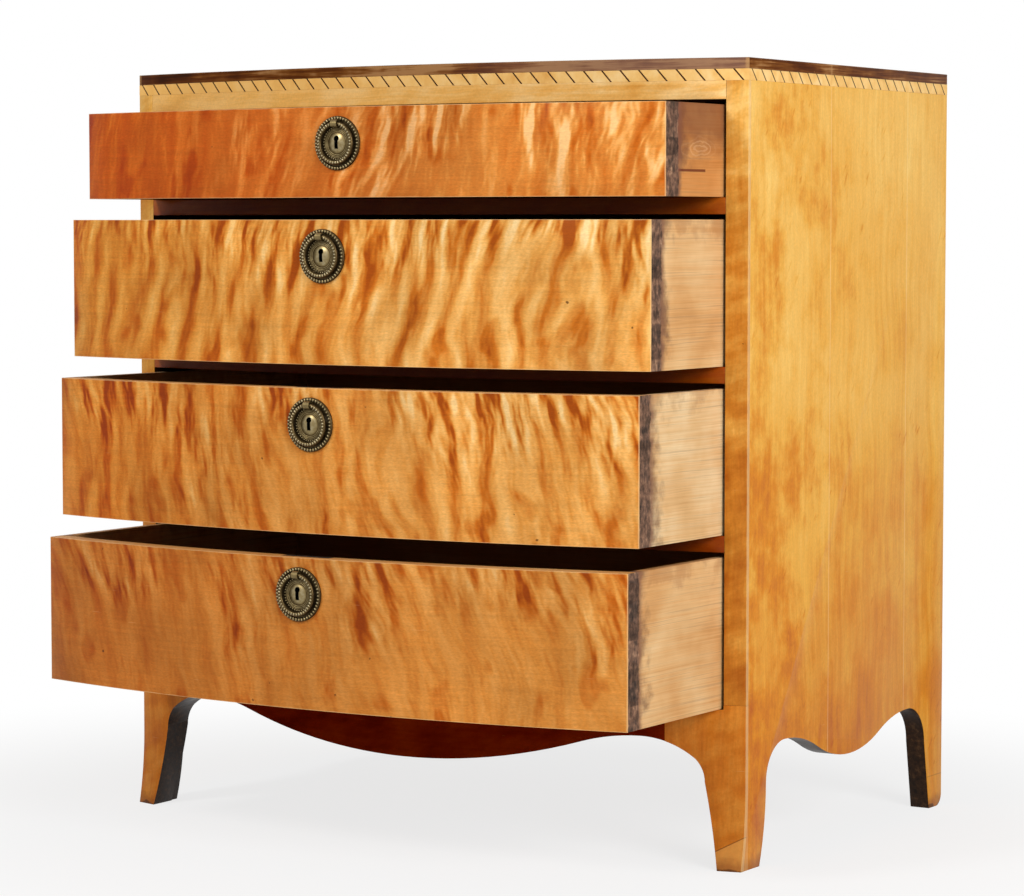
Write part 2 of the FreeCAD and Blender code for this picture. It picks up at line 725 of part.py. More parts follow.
def keyhole(number):
    """The shape of the keyhole, from the plate's face into the lock."""
    body = new_body(f"keyhole_{number}")
    sketch = new_sketch(body, f"keyhole_outline_{number}", "XZ_Plane")
    outline(sketch, [("keyhole_half_slot", "keyhole_neck"), ("-keyhole_half_slot", "keyhole_neck"),
                     ("-keyhole_half_foot", "keyhole_low"), ("keyhole_half_foot", "keyhole_low")])
    body.Tip = pad(body, sketch, f"keyhole_slot_{number}", "keyhole_depth")
    deep_end = f"lock_front_y_{number} + keyhole_into_lock"
    height = f"pull_z_{number} + keyhole_rise"
    place(body, y=deep_end, z=height)
    eye = lying_cylinder(f"keyhole_eye_{number}", V(0, -1, 0), "keyhole_round", "keyhole_depth",
                         "0", deep_end, height)
    return fuse(f"keyhole_shape_{number}", body, eye)


def pull_plate(number):
    """A turned brass plate: raised rim, flat recess and a domed boss."""
    body = new_body(f"plate_{number}")
    sketch = new_sketch(body, f"plate_profile_{number}", "XY_Plane")
    outline(sketch, [("zero", "zero"), ("plate_radius", "zero"), ("plate_radius", "plate_face"),
                     ("rim_inner", "plate_face"), ("boss_radius", "plate_face"), ("zero", "boss_face")],
            {2: ("rim_curve", 1), 4: ("boss_curve", 1)})
    turned = body.newObject("PartDesign::Revolution", f"plate_turned_{number}")
    turned.Profile = sketch
    turned.ReferenceAxis = (sketch, ["V_Axis"])
    turned.Angle = 360
    body.Tip = turned
    place(body, y=f"face_y_{number}", z=f"pull_z_{number}")
    return body


def pull_post(number):
    """The knuckle that the ring hangs in, with a tang that goes into the drawer front."""
    knuckle = lying_cylinder(f"knuckle_{number}", V(1, 0, 0), "knuckle_radius", "knuckle_length",
                             "-knuckle_length / 2", f"ring_y_{number}", f"hinge_z_{number}")
    tang = lying_cylinder(f"tang_{number}", V(0, -1, 0), "tang_radius", "tang_length + ring_centre",
                          "0", f"face_y_{number} + tang_length", f"hinge_z_{number}")
    eye = lying_cylinder(f"ring_eye_{number}", V(1, 0, 0), "eye_radius", "2 * knuckle_length",
                         "-knuckle_length", f"ring_y_{number}", f"hinge_z_{number}")
    solid = fuse(f"post_solid_{number}", knuckle, tang)
    across = ("-plate_radius", "plate_radius")
    wood = (f"face_y_{number}", f"face_y_{number} + front_thickness")
    above = board(f"wood_above_tang_{number}", across, wood,
                  (f"hinge_z_{number} + tang_radius", f"hinge_z_{number} + plate_radius"))
    below = board(f"wood_below_tang_{number}", across, wood,
                  (f"hinge_z_{number} - plate_radius", f"hinge_z_{number} - tang_radius"))
    trimmed = cut(f"post_trimmed_{number}", solid, group(f"wood_round_tang_{number}", [above, below]))
    return cut(f"post_{number}", trimmed, eye)


def pull_ring(number):
    ring = doc.addObject("Part::Torus", f"ring_{number}")
    ring.Placement = FreeCAD.Placement(V(0, 0, 0), FreeCAD.Rotation(V(1, 0, 0), 90))
    bind(ring, Radius1="ring_radius", Radius2="ring_wire")
    place(ring, y=f"ring_y_{number}", z=f"pull_z_{number}")
    return ring


def lock(number):
    """A lock let into the back of the front, with a bolt that rises out of the drawer's top edge."""
    case = board(f"lock_blank_{number}", ("-lock_width / 2", "lock_width / 2"),
                 (f"lock_front_y_{number}", f"lock_back_y_{number}"),
                 (f"high_{number} - lock_height", f"high_{number}"))
    reach = "bolt_thickness / 2"
    bolt = board(f"bolt_{number}", ("-bolt_width / 2", "bolt_width / 2"),
                 (f"bolt_y_{number} - {reach}", f"bolt_y_{number} + {reach}"),
                 (f"bolt_low_{number}", f"bolt_high_{number}"))
    channel = board(f"bolt_channel_{number}", ("-bolt_width / 2 - bolt_gap", "bolt_width / 2 + bolt_gap"),
                    (f"bolt_y_{number} - {reach} - bolt_gap", f"bolt_y_{number} + {reach} + bolt_gap"),
                    (f"bolt_low_{number} - bolt_gap", f"high_{number}"))
    return case, cut(f"lock_open_{number}", case, channel), bolt


def make_drawer(number):
    n = number
    face = upright_cylinder(f"drawer_face_{n}", "bow_radius", f"bow_centre_y_{n}")
    core_face = upright_cylinder(f"core_face_{n}", "bow_radius - veneer", f"bow_centre_y_{n}")
    inner_face = upright_cylinder(f"inner_face_{n}", "front_back_radius", f"bow_centre_y_{n}")
    groove_face = upright_cylinder(f"groove_face_{n}", "front_back_radius + groove_depth", f"bow_centre_y_{n}")
    right = drawer_side(n, f"drawer_{n}_right", "drawer_inner_half")
    left = drawer_side(n, f"drawer_{n}_left", "-drawer_half")
    groove_half = "drawer_inner_half + groove_depth"
    reach = (f"front_limit_y - open_{n}", f"side_rear_y_{n}")
    floor_blank = board(f"drawer_{n}_floor_blank", (f"-({groove_half})", groove_half), reach,
                        (f"floor_low_{n}", f"floor_high_{n}"))
    floor_board = node(f"drawer_{n}_bottom", common(f"drawer_{n}_floor", floor_blank, groove_face))
    sides = [cut(f"{side.Name}_grooved", side, floor_board) for side in (right, left)]
    node(f"drawer_{n}_sides", group(f"drawer_{n}_side_pair", sides))
    node(f"drawer_{n}_back",
         board(f"drawer_{n}_rear", ("-drawer_inner_half", "drawer_inner_half"),
               (f"side_rear_y_{n} - drawer_back", f"side_rear_y_{n}"),
               (f"floor_high_{n}", f"high_{n} - drawer_back_drop")))

    post = pull_post(n)
    case, open_case, bolt = lock(n)
    hole = keyhole(n)
    node(f"drawer_{n}_pull_post", post)
    node(f"drawer_{n}_pull_ring", pull_ring(n))
    node(f"drawer_{n}_lock_bolt", bolt)
    node(f"drawer_{n}_lock_case", cut(f"lock_{n}", open_case, hole))
    plate = cut(f"plate_with_post_{n}", pull_plate(n), post)
    node(f"drawer_{n}_pull_plate", cut(f"plate_with_keyhole_{n}", plate, hole))

    blank = board(f"front_blank_{n}", ("-drawer_half", "drawer_half"),
                  (f"front_limit_y - open_{n}", f"side_front_y_{n} + front_thickness"), (f"low_{n}", f"high_{n}"))
    bowed = common(f"front_bowed_{n}", blank, face)
    skin = cut(f"front_skin_{n}", bowed, core_face)
    core = cut(f"front_core_{n}", common(f"front_solid_{n}", blank, core_face), inner_face)
    let_in = group(f"front_fittings_{n}", [right, left, floor_board, case, post, hole])
    node(f"drawer_{n}_front", cut(f"front_{n}", core, let_in))
    node(f"drawer_{n}_veneer", cut(f"veneer_{n}", skin, group(f"veneer_holes_{n}", [post, hole])))


def check_pieces():
    doc.recompute()
    for item in doc.Objects:
        if any(state in ("Invalid", "Error") for state in item.State):
            raise RuntimeError(f"{item.Name} did not rebuild: {item.State}")
    for name, item in NODES.items():
        if item.Shape.isNull() or not item.Shape.isValid() or not item.Shape.Solids:
            raise RuntimeError(f"{name} has no sound solid")


def main():
    bow_face = upright_cylinder("bow_face", "bow_radius", "bow_centre_y")
    make_top(bow_face)
    make_rails(bow_face)
    back_boards = make_back()
    side_panel("side_panel_right", "inner_half", back_boards)
    side_panel("side_panel_left", "-half_width", back_boards)
    make_stiles(bow_face)
    make_base(bow_face)
    make_runners()
    make_stops()
    for number in DRAWERS:
        make_drawer(number)
    check_pieces()
    os.makedirs("parts", exist_ok=True)
    for name, item in NODES.items():
        item.Shape.exportStep(f"parts/{name}.step")
        print(name, len(item.Shape.Solids), "solids", round(item.Shape.Volume / 1000, 1), "cm3")


main()
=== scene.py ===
# %% [markdown]
# # A bow front chest of drawers
# The chest comes from its CAD model as a fixed frame: every board, drawer and fitting is already in
# place, in metres. This lesson gives it what the model lacks: eased edges on the boards, beads on the
# brass pulls, a finish for every wood and metal, light and a camera.

# %% Load the frame
import json
from math import radians

import bmesh
import bpy
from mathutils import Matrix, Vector

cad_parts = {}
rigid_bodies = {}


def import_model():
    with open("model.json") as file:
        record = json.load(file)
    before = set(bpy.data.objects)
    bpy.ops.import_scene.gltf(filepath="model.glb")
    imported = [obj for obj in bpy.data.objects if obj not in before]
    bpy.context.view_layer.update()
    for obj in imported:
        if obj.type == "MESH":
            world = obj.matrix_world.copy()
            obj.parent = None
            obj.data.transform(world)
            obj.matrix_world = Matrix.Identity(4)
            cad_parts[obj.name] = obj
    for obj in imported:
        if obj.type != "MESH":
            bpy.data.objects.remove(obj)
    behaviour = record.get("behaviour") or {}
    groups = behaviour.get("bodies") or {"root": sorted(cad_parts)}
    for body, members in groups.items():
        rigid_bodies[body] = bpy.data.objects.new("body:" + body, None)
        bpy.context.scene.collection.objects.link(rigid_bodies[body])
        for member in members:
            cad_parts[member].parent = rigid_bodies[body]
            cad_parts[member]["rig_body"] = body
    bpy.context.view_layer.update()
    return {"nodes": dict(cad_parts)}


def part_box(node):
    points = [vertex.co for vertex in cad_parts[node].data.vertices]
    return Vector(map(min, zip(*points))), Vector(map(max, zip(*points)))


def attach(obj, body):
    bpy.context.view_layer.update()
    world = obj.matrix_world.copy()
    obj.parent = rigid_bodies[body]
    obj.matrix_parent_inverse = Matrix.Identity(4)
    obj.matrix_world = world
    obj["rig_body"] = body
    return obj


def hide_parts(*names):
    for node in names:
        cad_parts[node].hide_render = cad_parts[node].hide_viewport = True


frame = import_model()
nodes = frame["nodes"]
DRAWERS = (1, 2, 3, 4)
MM = 0.001

# %% [markdown]
# ## Measures read from the frame
# A finish that changes along a board, such as wear at its edges, has to know where the board lies. The
# boxes of the nodes say so, and nothing has to be typed in twice.

# %% Places on the chest
side_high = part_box("side_panel_right")[1]
HALF_WIDTH = side_high.x
BACK_Y = side_high.y
RAIL_TOP = side_high.z
FACING_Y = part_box("front_stile_right")[1].y
STILE_FACING = 5 * MM
CORNER_Y = FACING_Y - STILE_FACING
print("half width", round(HALF_WIDTH, 4), "corner", round(CORNER_Y, 4), "back", round(BACK_Y, 4))


# %% Where each pull sits
class Pull:
    """The middle of a pull's plate on the drawer's face, and the circle of its ring."""

    def __init__(self, number):
        plate_low, plate_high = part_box(f"drawer_{number}_pull_plate")
        ring_low, ring_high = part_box(f"drawer_{number}_pull_ring")
        self.number = number
        self.face_y = plate_high.y
        self.height = (plate_low.z + plate_high.z) / 2
        self.ring_y = (ring_low.y + ring_high.y) / 2
        self.ring_wire = (ring_high.y - ring_low.y) / 2
        self.ring_radius = (ring_high.x - ring_low.x) / 2 - self.ring_wire


pulls = {number: Pull(number) for number in DRAWERS}
print("pulls at", [round(pull.height, 4) for pull in pulls.values()])


# %% [markdown]
# ## A hand for building node trees
# Shader trees are built in the script, so a few short helpers keep them readable. A socket knows the tree
# that it is in, so a helper that gets a socket puts its node into the same tree, and the tree need not be
# named again.

# %% Helpers that add a node
def add(tree, kind, inputs=None, **settings):
    """A new node, with its settings, and with its inputs set to a value or linked to a socket."""
    item = tree.nodes.new(kind)
    for name, setting in settings.items():
        setattr(item, name, setting)
    for key, source in (inputs or {}).items():
        if isinstance(source, bpy.types.NodeSocket):
            tree.links.new(source, item.inputs[key])
        else:
            item.inputs[key].default_value = source
    return item


def grow(kind, inputs, **settings):
    """A new node in the tree of the first socket among its inputs."""
    sockets = (source for source in inputs.values() if isinstance(source, bpy.types.NodeSocket))
    return add(next(sockets).id_data, kind, inputs, **settings)


def stored(place, name):
    """A value that is stored on the mesh under a name."""
    return add(place.id_data, "ShaderNodeAttribute", attribute_name=name).outputs["Fac"]


print("nodes can be added")


# %% Helpers for sums
def calc(operation, *terms):
    return grow("ShaderNodeMath", dict(enumerate(terms)), operation=operation).outputs[0]


def times(first, second):
    return calc("MULTIPLY", first, second)


def minus(first, second):
    return calc("SUBTRACT", first, second)


def total(first, *others):
    for other in others:
        first = calc("ADD", first, other)
    return first


def vector_calc(operation, *terms):
    return grow("ShaderNodeVectorMath", dict(enumerate(terms)), operation=operation).outputs[0]


def scaled(vector, factors):
    return vector_calc("MULTIPLY", vector, factors)


def vector_of(x=0.0, y=0.0, z=0.0):
    return grow("ShaderNodeCombineXYZ", {0: x, 1: y, 2: z}).outputs[0]


def split(vector):
    return grow("ShaderNodeSeparateXYZ", {0: vector}).outputs


def length(vector):
    return grow("ShaderNodeVectorMath", {0: vector}, operation="LENGTH").outputs["Value"]


def smooth(value, start, end, low=0.0, high=1.0):
    """A soft step from low to high while the value goes from start to end."""
    inputs = {"Value": value, "From Min": start, "From Max": end, "To Min": low, "To Max": high}
    return grow("ShaderNodeMapRange", inputs, interpolation_type="SMOOTHSTEP").outputs[0]


def fade(value, start, end):
    """A soft step down from 1 to 0."""
    return smooth(value, start, end, 1.0, 0.0)


print("sums can be made")


# %% Helpers for textures and colours
def leaning(place, turn, stretch):
    """The place turned and then stretched, so that a noise on it leans."""
    inputs = {"Vector": place, "Rotation": turn, "Scale": [1.0 / factor for factor in stretch]}
    return grow("ShaderNodeMapping", inputs, vector_type="TEXTURE").outputs[0]


def noise(vector, scale, detail=2.0, roughness=0.5, seed=0.0):
    inputs = {"Vector": vector, "Scale": scale, "Detail": detail, "Roughness": roughness, "W": seed}
    return grow("ShaderNodeTexNoise", inputs, noise_dimensions="4D").outputs[0]


def swing(value, amount):
    """A noise as a number about zero, times an amount."""
    return times(minus(value, 0.5), amount)


def mix(factor, first, second, blend="MIX"):
    """Two colours mixed. On the Mix node the colours are inputs 6 and 7 and output 2."""
    inputs = {0: factor, 6: first, 7: second}
    return grow("ShaderNodeMix", inputs, data_type="RGBA", blend_type=blend).outputs[2]


def shade(colour, value, amount):
    """The colour made lighter and darker by a noise."""
    level = total(1.0, swing(value, amount))
    grey = grow("ShaderNodeCombineColor", {channel: level for channel in range(3)}).outputs[0]
    return mix(1.0, colour, grey, "MULTIPLY")


def linear(code):
    """A colour written as on a paint chart, as the numbers that light is added up in."""
    parts = [int(code[i:i + 2], 16) / 255 for i in (1, 3, 5)]
    return tuple([p / 12.92 if p <= 0.04045 else ((p + 0.055) / 1.055) ** 2.4 for p in parts] + [1.0])


def stain(mask, strength, colour, code):
    """A paint code laid over a colour where a mask is high."""
    return mix(times(mask, strength), colour, linear(code))


def ramp(value, stops):
    """Colours along a value, from pairs of a place and a paint code."""
    item = grow("ShaderNodeValToRGB", {0: value})
    while len(item.color_ramp.elements) < len(stops):
        item.color_ramp.elements.new(1.0)
    for element, (place, code) in zip(item.color_ramp.elements, stops):
        element.position = place
        element.color = linear(code)
    return item.outputs[0]


print("textures and colours can be made")

# %% [markdown]
# ## Shared effects as shader groups
# Every wood on the chest has grain, worn edges and small marks of age. Each effect is built once as a
# group with named inputs, and each finish places it with its own values.

# %% A new group, and a group placed in a material
NUMBER = "NodeSocketFloat"
PLACE = "NodeSocketVector"
ORIGIN = (0.0, 0.0, 0.0)


def new_group(name, inputs, outputs):
    tree = bpy.data.node_groups.new(name, "ShaderNodeTree")
    for label, (kind, start) in inputs.items():
        tree.interface.new_socket(label, in_out="INPUT", socket_type=kind).default_value = start
    for label in outputs:
        tree.interface.new_socket(label, in_out="OUTPUT", socket_type=NUMBER)
    given = tree.nodes.new("NodeGroupInput").outputs
    result = tree.nodes.new("NodeGroupOutput").inputs
    return tree, given, result


def placed(group, inputs):
    """A group's outputs, with the group in the tree that its inputs come from."""
    return grow("ShaderNodeGroup", inputs, node_tree=group).outputs


print("groups can be made")

# %% [markdown]
# ### Flame figure
# In flame birch the fibres rise and fall like cloth in folds, and the polish shows each fold light on one
# side and dark on the other. A striped texture looks painted on. Here a tall, wandering noise stands for
# the height of the folds, and the figure is its slope: the noise a little to the right less the noise a
# little to the left, which gives the soft and the sharp side of each flame by itself. Three sizes of folds
# lie over each other. The flames come in patches, with calm wood between them, and here and there the
# polish has pooled to a darker spot. The input Glow goes from dark streaks on pale wood to pale streaks on
# darker wood.

# %% The flame figure group
BROAD_FOLDS = 38.0
NARROW_FOLDS = 80.0
THIN_FOLDS = 170.0
UPRIGHT_SQUEEZE = 0.31


def slope_across(place, scale, seed):
    """How steeply a noise rises along X, over a quarter of its own grid."""
    reach = (0.25 / scale, 0.0, 0.0)
    right = noise(vector_calc("ADD", place, reach), scale, 1.0, seed=seed)
    left = noise(vector_calc("SUBTRACT", place, reach), scale, 1.0, seed=seed)
    return minus(right, left)


def make_flame_group():
    tree, given, result = new_group("Flame figure", {
        "Vector": (PLACE, ORIGIN), "Seed": (NUMBER, 0.0), "Lean": (NUMBER, 0.0),
        "Depth": (NUMBER, 1.0), "Calm": (NUMBER, 0.5), "Lively": (NUMBER, 0.0),
        "Glow": (NUMBER, 0.7)}, ("Figure", "Tone"))
    place = given["Vector"]
    seed = given["Seed"]
    axes = split(place)
    wander = swing(noise(place, 5.0, seed=seed), 0.08)
    ripple = swing(noise(place, 28.0, seed=seed), 0.009)
    across = total(calc("MULTIPLY_ADD", axes[2], given["Lean"], axes[0]), wander, ripple)
    tall = vector_of(x=across, z=times(axes[2], UPRIGHT_SQUEEZE))
    patches = total(noise(place, 8.0, seed=total(seed, 3.7)), given["Lively"])
    still = minus(1.0, given["Calm"])
    broad = slope_across(tall, BROAD_FOLDS, seed)
    broad = times(broad, smooth(patches, 0.42, 0.64, still, 0.85))
    narrow = slope_across(tall, NARROW_FOLDS, total(seed, 1.9))
    narrow = times(narrow, smooth(patches, 0.44, 0.64, 0.1, 0.6))
    thin = slope_across(tall, THIN_FOLDS, total(seed, 5.3))
    thin = times(thin, smooth(patches, 0.44, 0.64, 0.1, 0.3))
    folds = times(total(broad, narrow, thin), given["Depth"])
    light_side = times(calc("MAXIMUM", folds, 0.0), given["Glow"])
    dark_side = times(calc("MINIMUM", folds, 0.0), minus(1.7, given["Glow"]))
    stout = scaled(tall, (1.0, 1.0, 2.0))
    pools = smooth(noise(stout, 27.0, seed=total(seed, 7.7)), 0.56, 0.66, 0.0, -0.2)
    ground = calc("MULTIPLY_ADD", given["Glow"], -0.2, 0.67)
    figure = total(ground, light_side, dark_side, pools)
    tree.links.new(calc("MAXIMUM", figure, 0.0), result["Figure"])
    tree.links.new(noise(stout, 12.0, 3.0, seed=total(seed, 9.1)), result["Tone"])
    return tree


FLAME = make_flame_group()
print("flame figure:", len(FLAME.nodes), "nodes")

# %% [markdown]
# ### Straight grain
# Fibres run along a board. Stretching a noise along one axis gives their streaks, and a finer one gives
# the pores. The stretch is an input, so one group serves boards that lie along X, Y or Z.

# %% The straight grain group
def make_grain_group():
    tree, given, result = new_group("Straight grain", {
        "Vector": (PLACE, ORIGIN), "Stretch": (PLACE, (1.0, 1.0, 1.0)), "Seed": (NUMBER, 0.0),
        "Waver": (NUMBER, 0.004)}, ("Streaks", "Fibres"))
    place = given["Vector"]
    coarse = {"Vector": place, "Scale": 7.0, "Detail": 1.0}
    bend = grow("ShaderNodeTexNoise", coarse).outputs[1]
    bend = vector_calc("SUBTRACT", bend, (0.5, 0.5, 0.5))
    amount = vector_of(given["Waver"], given["Waver"], given["Waver"])
    bent = vector_calc("ADD", place, scaled(bend, amount))
    along = scaled(bent, given["Stretch"])
    tree.links.new(noise(along, 1.0, 3.0, 0.6, given["Seed"]), result["Streaks"])
    tree.links.new(noise(along, 4.7, 2.0, 0.6, given["Seed"]), result["Fibres"])
    return tree


GRAIN = make_grain_group()
print("straight grain:", len(GRAIN.nodes), "nodes")

# %% [markdown]
# ### Worn edges
# Hands and cloths rub the polish off the arrises of a board. A point is near an arris when it is near two
# faces of the board's box, so the group measures the distance to the faces on each axis and takes the
# second smallest. An axis with a half size of zero is left out, which suits a bowed front.

# %% The worn edges group
LEAST_WEAR = 0.05 * MM


def make_wear_group():
    tree, given, result = new_group("Worn edges", {
        "Vector": (PLACE, ORIGIN), "Middle": (PLACE, ORIGIN), "Half": (PLACE, ORIGIN),
        "Width": (NUMBER, 1.5 * MM)}, ("Mask",))
    off = vector_calc("ABSOLUTE", vector_calc("SUBTRACT", given["Vector"], given["Middle"]))
    left = split(vector_calc("SUBTRACT", given["Half"], off))
    small = calc("MINIMUM", left[0], left[1])
    large = calc("MAXIMUM", left[0], left[1])
    second = calc("MAXIMUM", small, calc("MINIMUM", large, left[2]))
    uneven = calc("MULTIPLY_ADD", noise(given["Vector"], 60.0, 3.0), 2.0, -0.2)
    width = times(given["Width"], uneven)
    share = calc("DIVIDE", second, calc("MAXIMUM", width, LEAST_WEAR))
    tree.links.new(fade(share, 0.4, 1.2), result["Mask"])
    return tree


WEAR = make_wear_group()
print("worn edges:", len(WEAR.nodes), "nodes")

# %% [markdown]
# ### Marks of age
# Long use leaves specks and fine scratches. Cells of a Voronoi texture scatter small ragged spots, of which
# a random few are kept. A noise drawn out to threads and cut off high gives the scratches.

# %% The age marks group
def make_age_group():
    tree, given, result = new_group("Age marks", {
        "Vector": (PLACE, ORIGIN), "Specks per metre": (NUMBER, 45.0), "Share": (NUMBER, 0.2)},
        ("Specks", "Scratches"))
    place = given["Vector"]
    ragged = vector_calc("ADD", place, swing(noise(place, 260.0), 0.004))
    grid = {"Vector": ragged, "Scale": given["Specks per metre"]}
    cells = grow("ShaderNodeTexVoronoi", grid).outputs
    draw = grow("ShaderNodeSeparateColor", {0: cells["Color"]}).outputs
    size = calc("MULTIPLY_ADD", draw[1], 0.07, 0.02)
    spot = fade(calc("DIVIDE", cells["Distance"], size), 0.6, 1.1)
    kept = calc("LESS_THAN", draw[0], given["Share"])
    tree.links.new(times(spot, kept), result["Specks"])
    threads = scaled(place, (22.0, 22.0, 330.0))
    tree.links.new(smooth(noise(threads, 1.0, 2.0, 0.7), 0.70, 0.76), result["Scratches"])
    return tree


AGE = make_age_group()
print("age marks:", len(AGE.nodes), "nodes")

# %% [markdown]
# ## Finishes
# Each finish is a Principled shader fed by the groups. The polish is shellac: a warm colour under a thin
# clear layer, a little duller along some of the fibres. Faces that were only sawn, such as the cut edges of
# the feet, carry an attribute named sawn and are bare, dark and rough in colour.

# %% A finish from its parts
BUMP_STRENGTH = 0.6


def new_finish(name):
    material = bpy.data.materials.new(name)
    material.use_nodes = True
    material.node_tree.nodes.clear()
    place = add(material.node_tree, "ShaderNodeTexCoord").outputs["Object"]
    return material, place


def close_finish(colour, roughness, height, depth=0.2 * MM, **constants):
    """Ends a tree in a Principled shader, with a bump from the height."""
    bump = grow("ShaderNodeBump", {"Height": height, "Distance": depth, "Strength": BUMP_STRENGTH})
    inputs = {"Base Color": colour, "Roughness": roughness, "Normal": bump.outputs[0]}
    for name, number in constants.items():
        inputs[name.replace("_", " ")] = number
    shader = grow("ShaderNodeBsdfPrincipled", inputs)
    grow("ShaderNodeOutputMaterial", {"Surface": shader.outputs[0]})


def shellac(colour, roughness, height, coat=0.03, specular=0.09):
    close_finish(colour, roughness, height, Coat_Weight=coat, Coat_Roughness=0.25,
                 Specular_IOR_Level=specular)


def grained(place, stretch, seed=0.0, waver=0.004):
    """The straight grain of a board, from its stretch along X, Y and Z."""
    return placed(GRAIN, {"Vector": place, "Stretch": stretch, "Seed": seed, "Waver": waver})


print("finishes can be made")

# %% Wear, age and dirt
SPECK = "#3A1C0C"
BARE = "#EFC68C"
# Painted shade in the keyholes: the near-black colour and the reach of the dark disc round each one.
KEYHOLE_SHADE = "#0C0704"
KEYHOLE_SHADE_RADIUS = 16 * MM
SAWN_STOPS = ((0.3, "#180D06"), (0.55, "#382414"), (0.8, "#6A4C30"))


def middle_and_half(low, high, skip_axis):
    """The middle of a box and its half size, with one axis left out."""
    half = (high - low) / 2
    half[skip_axis] = 0.0
    return {"Middle": tuple((low + high) / 2), "Half": tuple(half)}


def worn(place, box, skip_axis, width):
    inputs = {"Vector": place, "Width": width, **middle_and_half(*box, skip_axis)}
    return placed(WEAR, inputs)["Mask"]


def add_age(place, colour, specks=45.0, share=0.2):
    marks = placed(AGE, {"Vector": place, "Specks per metre": specks, "Share": share})
    colour = stain(marks["Scratches"], 0.15, colour, BARE)
    return stain(marks["Specks"], 0.75, colour, SPECK)


def add_sawn(place, colour):
    """Bare dark wood on the faces that are marked as sawn."""
    teeth = noise(place, 140.0, 4.0, 0.65)
    return mix(stored(place, "sawn"), colour, ramp(teeth, SAWN_STOPS))


def painted_keyhole_shade(place, colour, heights):
    """Painted shade in the keyholes: the wood round them, under the plates, is made near-black."""
    axes = split(place)
    for height in heights:
        reach = length(vector_of(x=axes[0], z=minus(axes[2], height)))
        colour = stain(calc("LESS_THAN", reach, KEYHOLE_SHADE_RADIUS), 1.0, colour, KEYHOLE_SHADE)
    return colour


print("wear and dirt ready")

# %% [markdown]
# ### Drawer fronts
# Each front is cut from its own sheet of flame birch. All four share the recipe, and each has its own
# seed, lean, depth, glow and tints: the top one is redder with pale streaks, the bottom one is calmer and
# browner, all of them are livelier towards the top, and the tints paint shade on them, darker and redder
# towards the left of the bow.

# %% Flame birch veneer for each drawer
FLAME_STOPS = ((0.0, "#A34F0C"), (0.22, "#C67422"), (0.5, "#E0A353"), (0.76, "#F2C27A"), (1.0, "#FBDEA8"))
LIFT_SPAN = (-0.25, 0.10)
# The span along X over which the painted shade of the left tint gives way to the right tint.
PAINTED_SHADE_SPAN = (-0.36, 0.30)
FRONTS = {
    1: {"Seed": 4.2, "Lean": -0.20, "Depth": 2.6, "Calm": 0.65, "Glow": 1.25, "right lift": 0.10,
        "tints": ("#DE9048", "#F6DAC0")},
    2: {"Seed": 11.6, "Lean": -0.16, "Depth": 3.0, "Calm": 0.45, "Glow": 0.8, "right lift": -0.02,
        "tints": ("#F4D298", "#FFF6E6")},
    3: {"Seed": 23.1, "Lean": 0.16, "Depth": 3.2, "Calm": 0.6, "Glow": 0.7, "right lift": 0.0,
        "tints": ("#E8BA7C", "#F4E4CC")},
    4: {"Seed": 37.9, "Lean": 0.26, "Depth": 2.2, "Calm": 0.75, "Glow": 0.7, "right lift": 0.02,
        "tints": ("#D6A878", "#E6CCAC")},
}


def flame_birch(number):
    choice = FRONTS[number]
    material, place = new_finish(f"flame_birch_{number}")
    group_inputs = {key: choice[key] for key in ("Seed", "Lean", "Depth", "Calm", "Glow")}
    low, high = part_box(f"drawer_{number}_veneer")
    axes = split(place)
    lively = smooth(axes[2], low.z, high.z, -0.11, 0.08)
    lift = choice["right lift"]
    lively = total(lively, smooth(axes[0], *LIFT_SPAN, -lift, lift))
    flame = placed(FLAME, {"Vector": place, "Lively": lively, **group_inputs})
    grain = grained(place, (11.0, 11.0, 300.0), choice["Seed"])
    # The tints are painted shade: the left of the bow is made darker and redder.
    shaded_left_tint, lit_right_tint = [linear(code) for code in choice["tints"]]
    rightward = smooth(axes[0], *PAINTED_SHADE_SPAN)
    colour = ramp(flame["Figure"], FLAME_STOPS)
    colour = mix(1.0, colour, mix(rightward, shaded_left_tint, lit_right_tint), "MULTIPLY")
    colour = shade(colour, flame["Tone"], 0.9)
    colour = shade(colour, grain["Streaks"], 0.4)
    crumbs = scaled(place, (260.0, 260.0, 640.0))
    colour = shade(colour, noise(crumbs, 1.0, 2.0, 0.6), 0.55)
    colour = add_age(place, colour)
    edge = worn(place, (low, high), 1, 0.9 * MM)
    colour = stain(edge, 0.5, colour, BARE)
    # Painted shade in the keyhole.
    colour = painted_keyhole_shade(place, colour, [pulls[number].height])
    dull = total(0.36, swing(grain["Fibres"], 0.3))
    shellac(colour, dull, grain["Streaks"])
    return material


flame_finish = {number: flame_birch(number) for number in DRAWERS}
print("flame birch for", len(flame_finish), "drawers")

# %% [markdown]
# ### Side panels
# The sides are plain birch: pale gold, upright grain, clouds where the polish soaked in near the front
# edge, small slanting flecks, and three boards side by side with fine joints. Lower down they are darker
# and more orange.

# %% Plain birch for the sides
SIDE_STOPS = ((0.0, "#BE6006"), (0.3, "#D98616"), (0.55, "#E9AA42"), (0.8, "#F3C062"), (1.0, "#FBD580"))
# Each joint's distance from the front, and how much lighter the board behind it is
BOARD_JOINTS = {190 * MM: -0.05, 381 * MM: 0.06}
JOINT_WIDTH = 0.8 * MM
CLOUD_SPAN = (60 * MM, 320 * MM)
ORANGE_SPAN = (50 * MM, 750 * MM)
FOOT_PATCH_Z = 38 * MM
HEEL_DEPTH = 60 * MM


def near_line(value, line, width):
    """A mask that is 1 within a width of a line."""
    gap = calc("ABSOLUTE", minus(value, line))
    return fade(gap, width * 0.4, width)


def add_grime(place, colour):
    """Dirt and scuffs near the floor."""
    ragged = swing(noise(place, 70.0, 3.0), 0.02)
    height = total(split(place)[2], ragged)
    colour = stain(fade(height, 4 * MM, 18 * MM), 0.6, colour, "#8A4A20")
    return stain(fade(height, 0.5 * MM, 3 * MM), 0.8, colour, "#4A2A16")


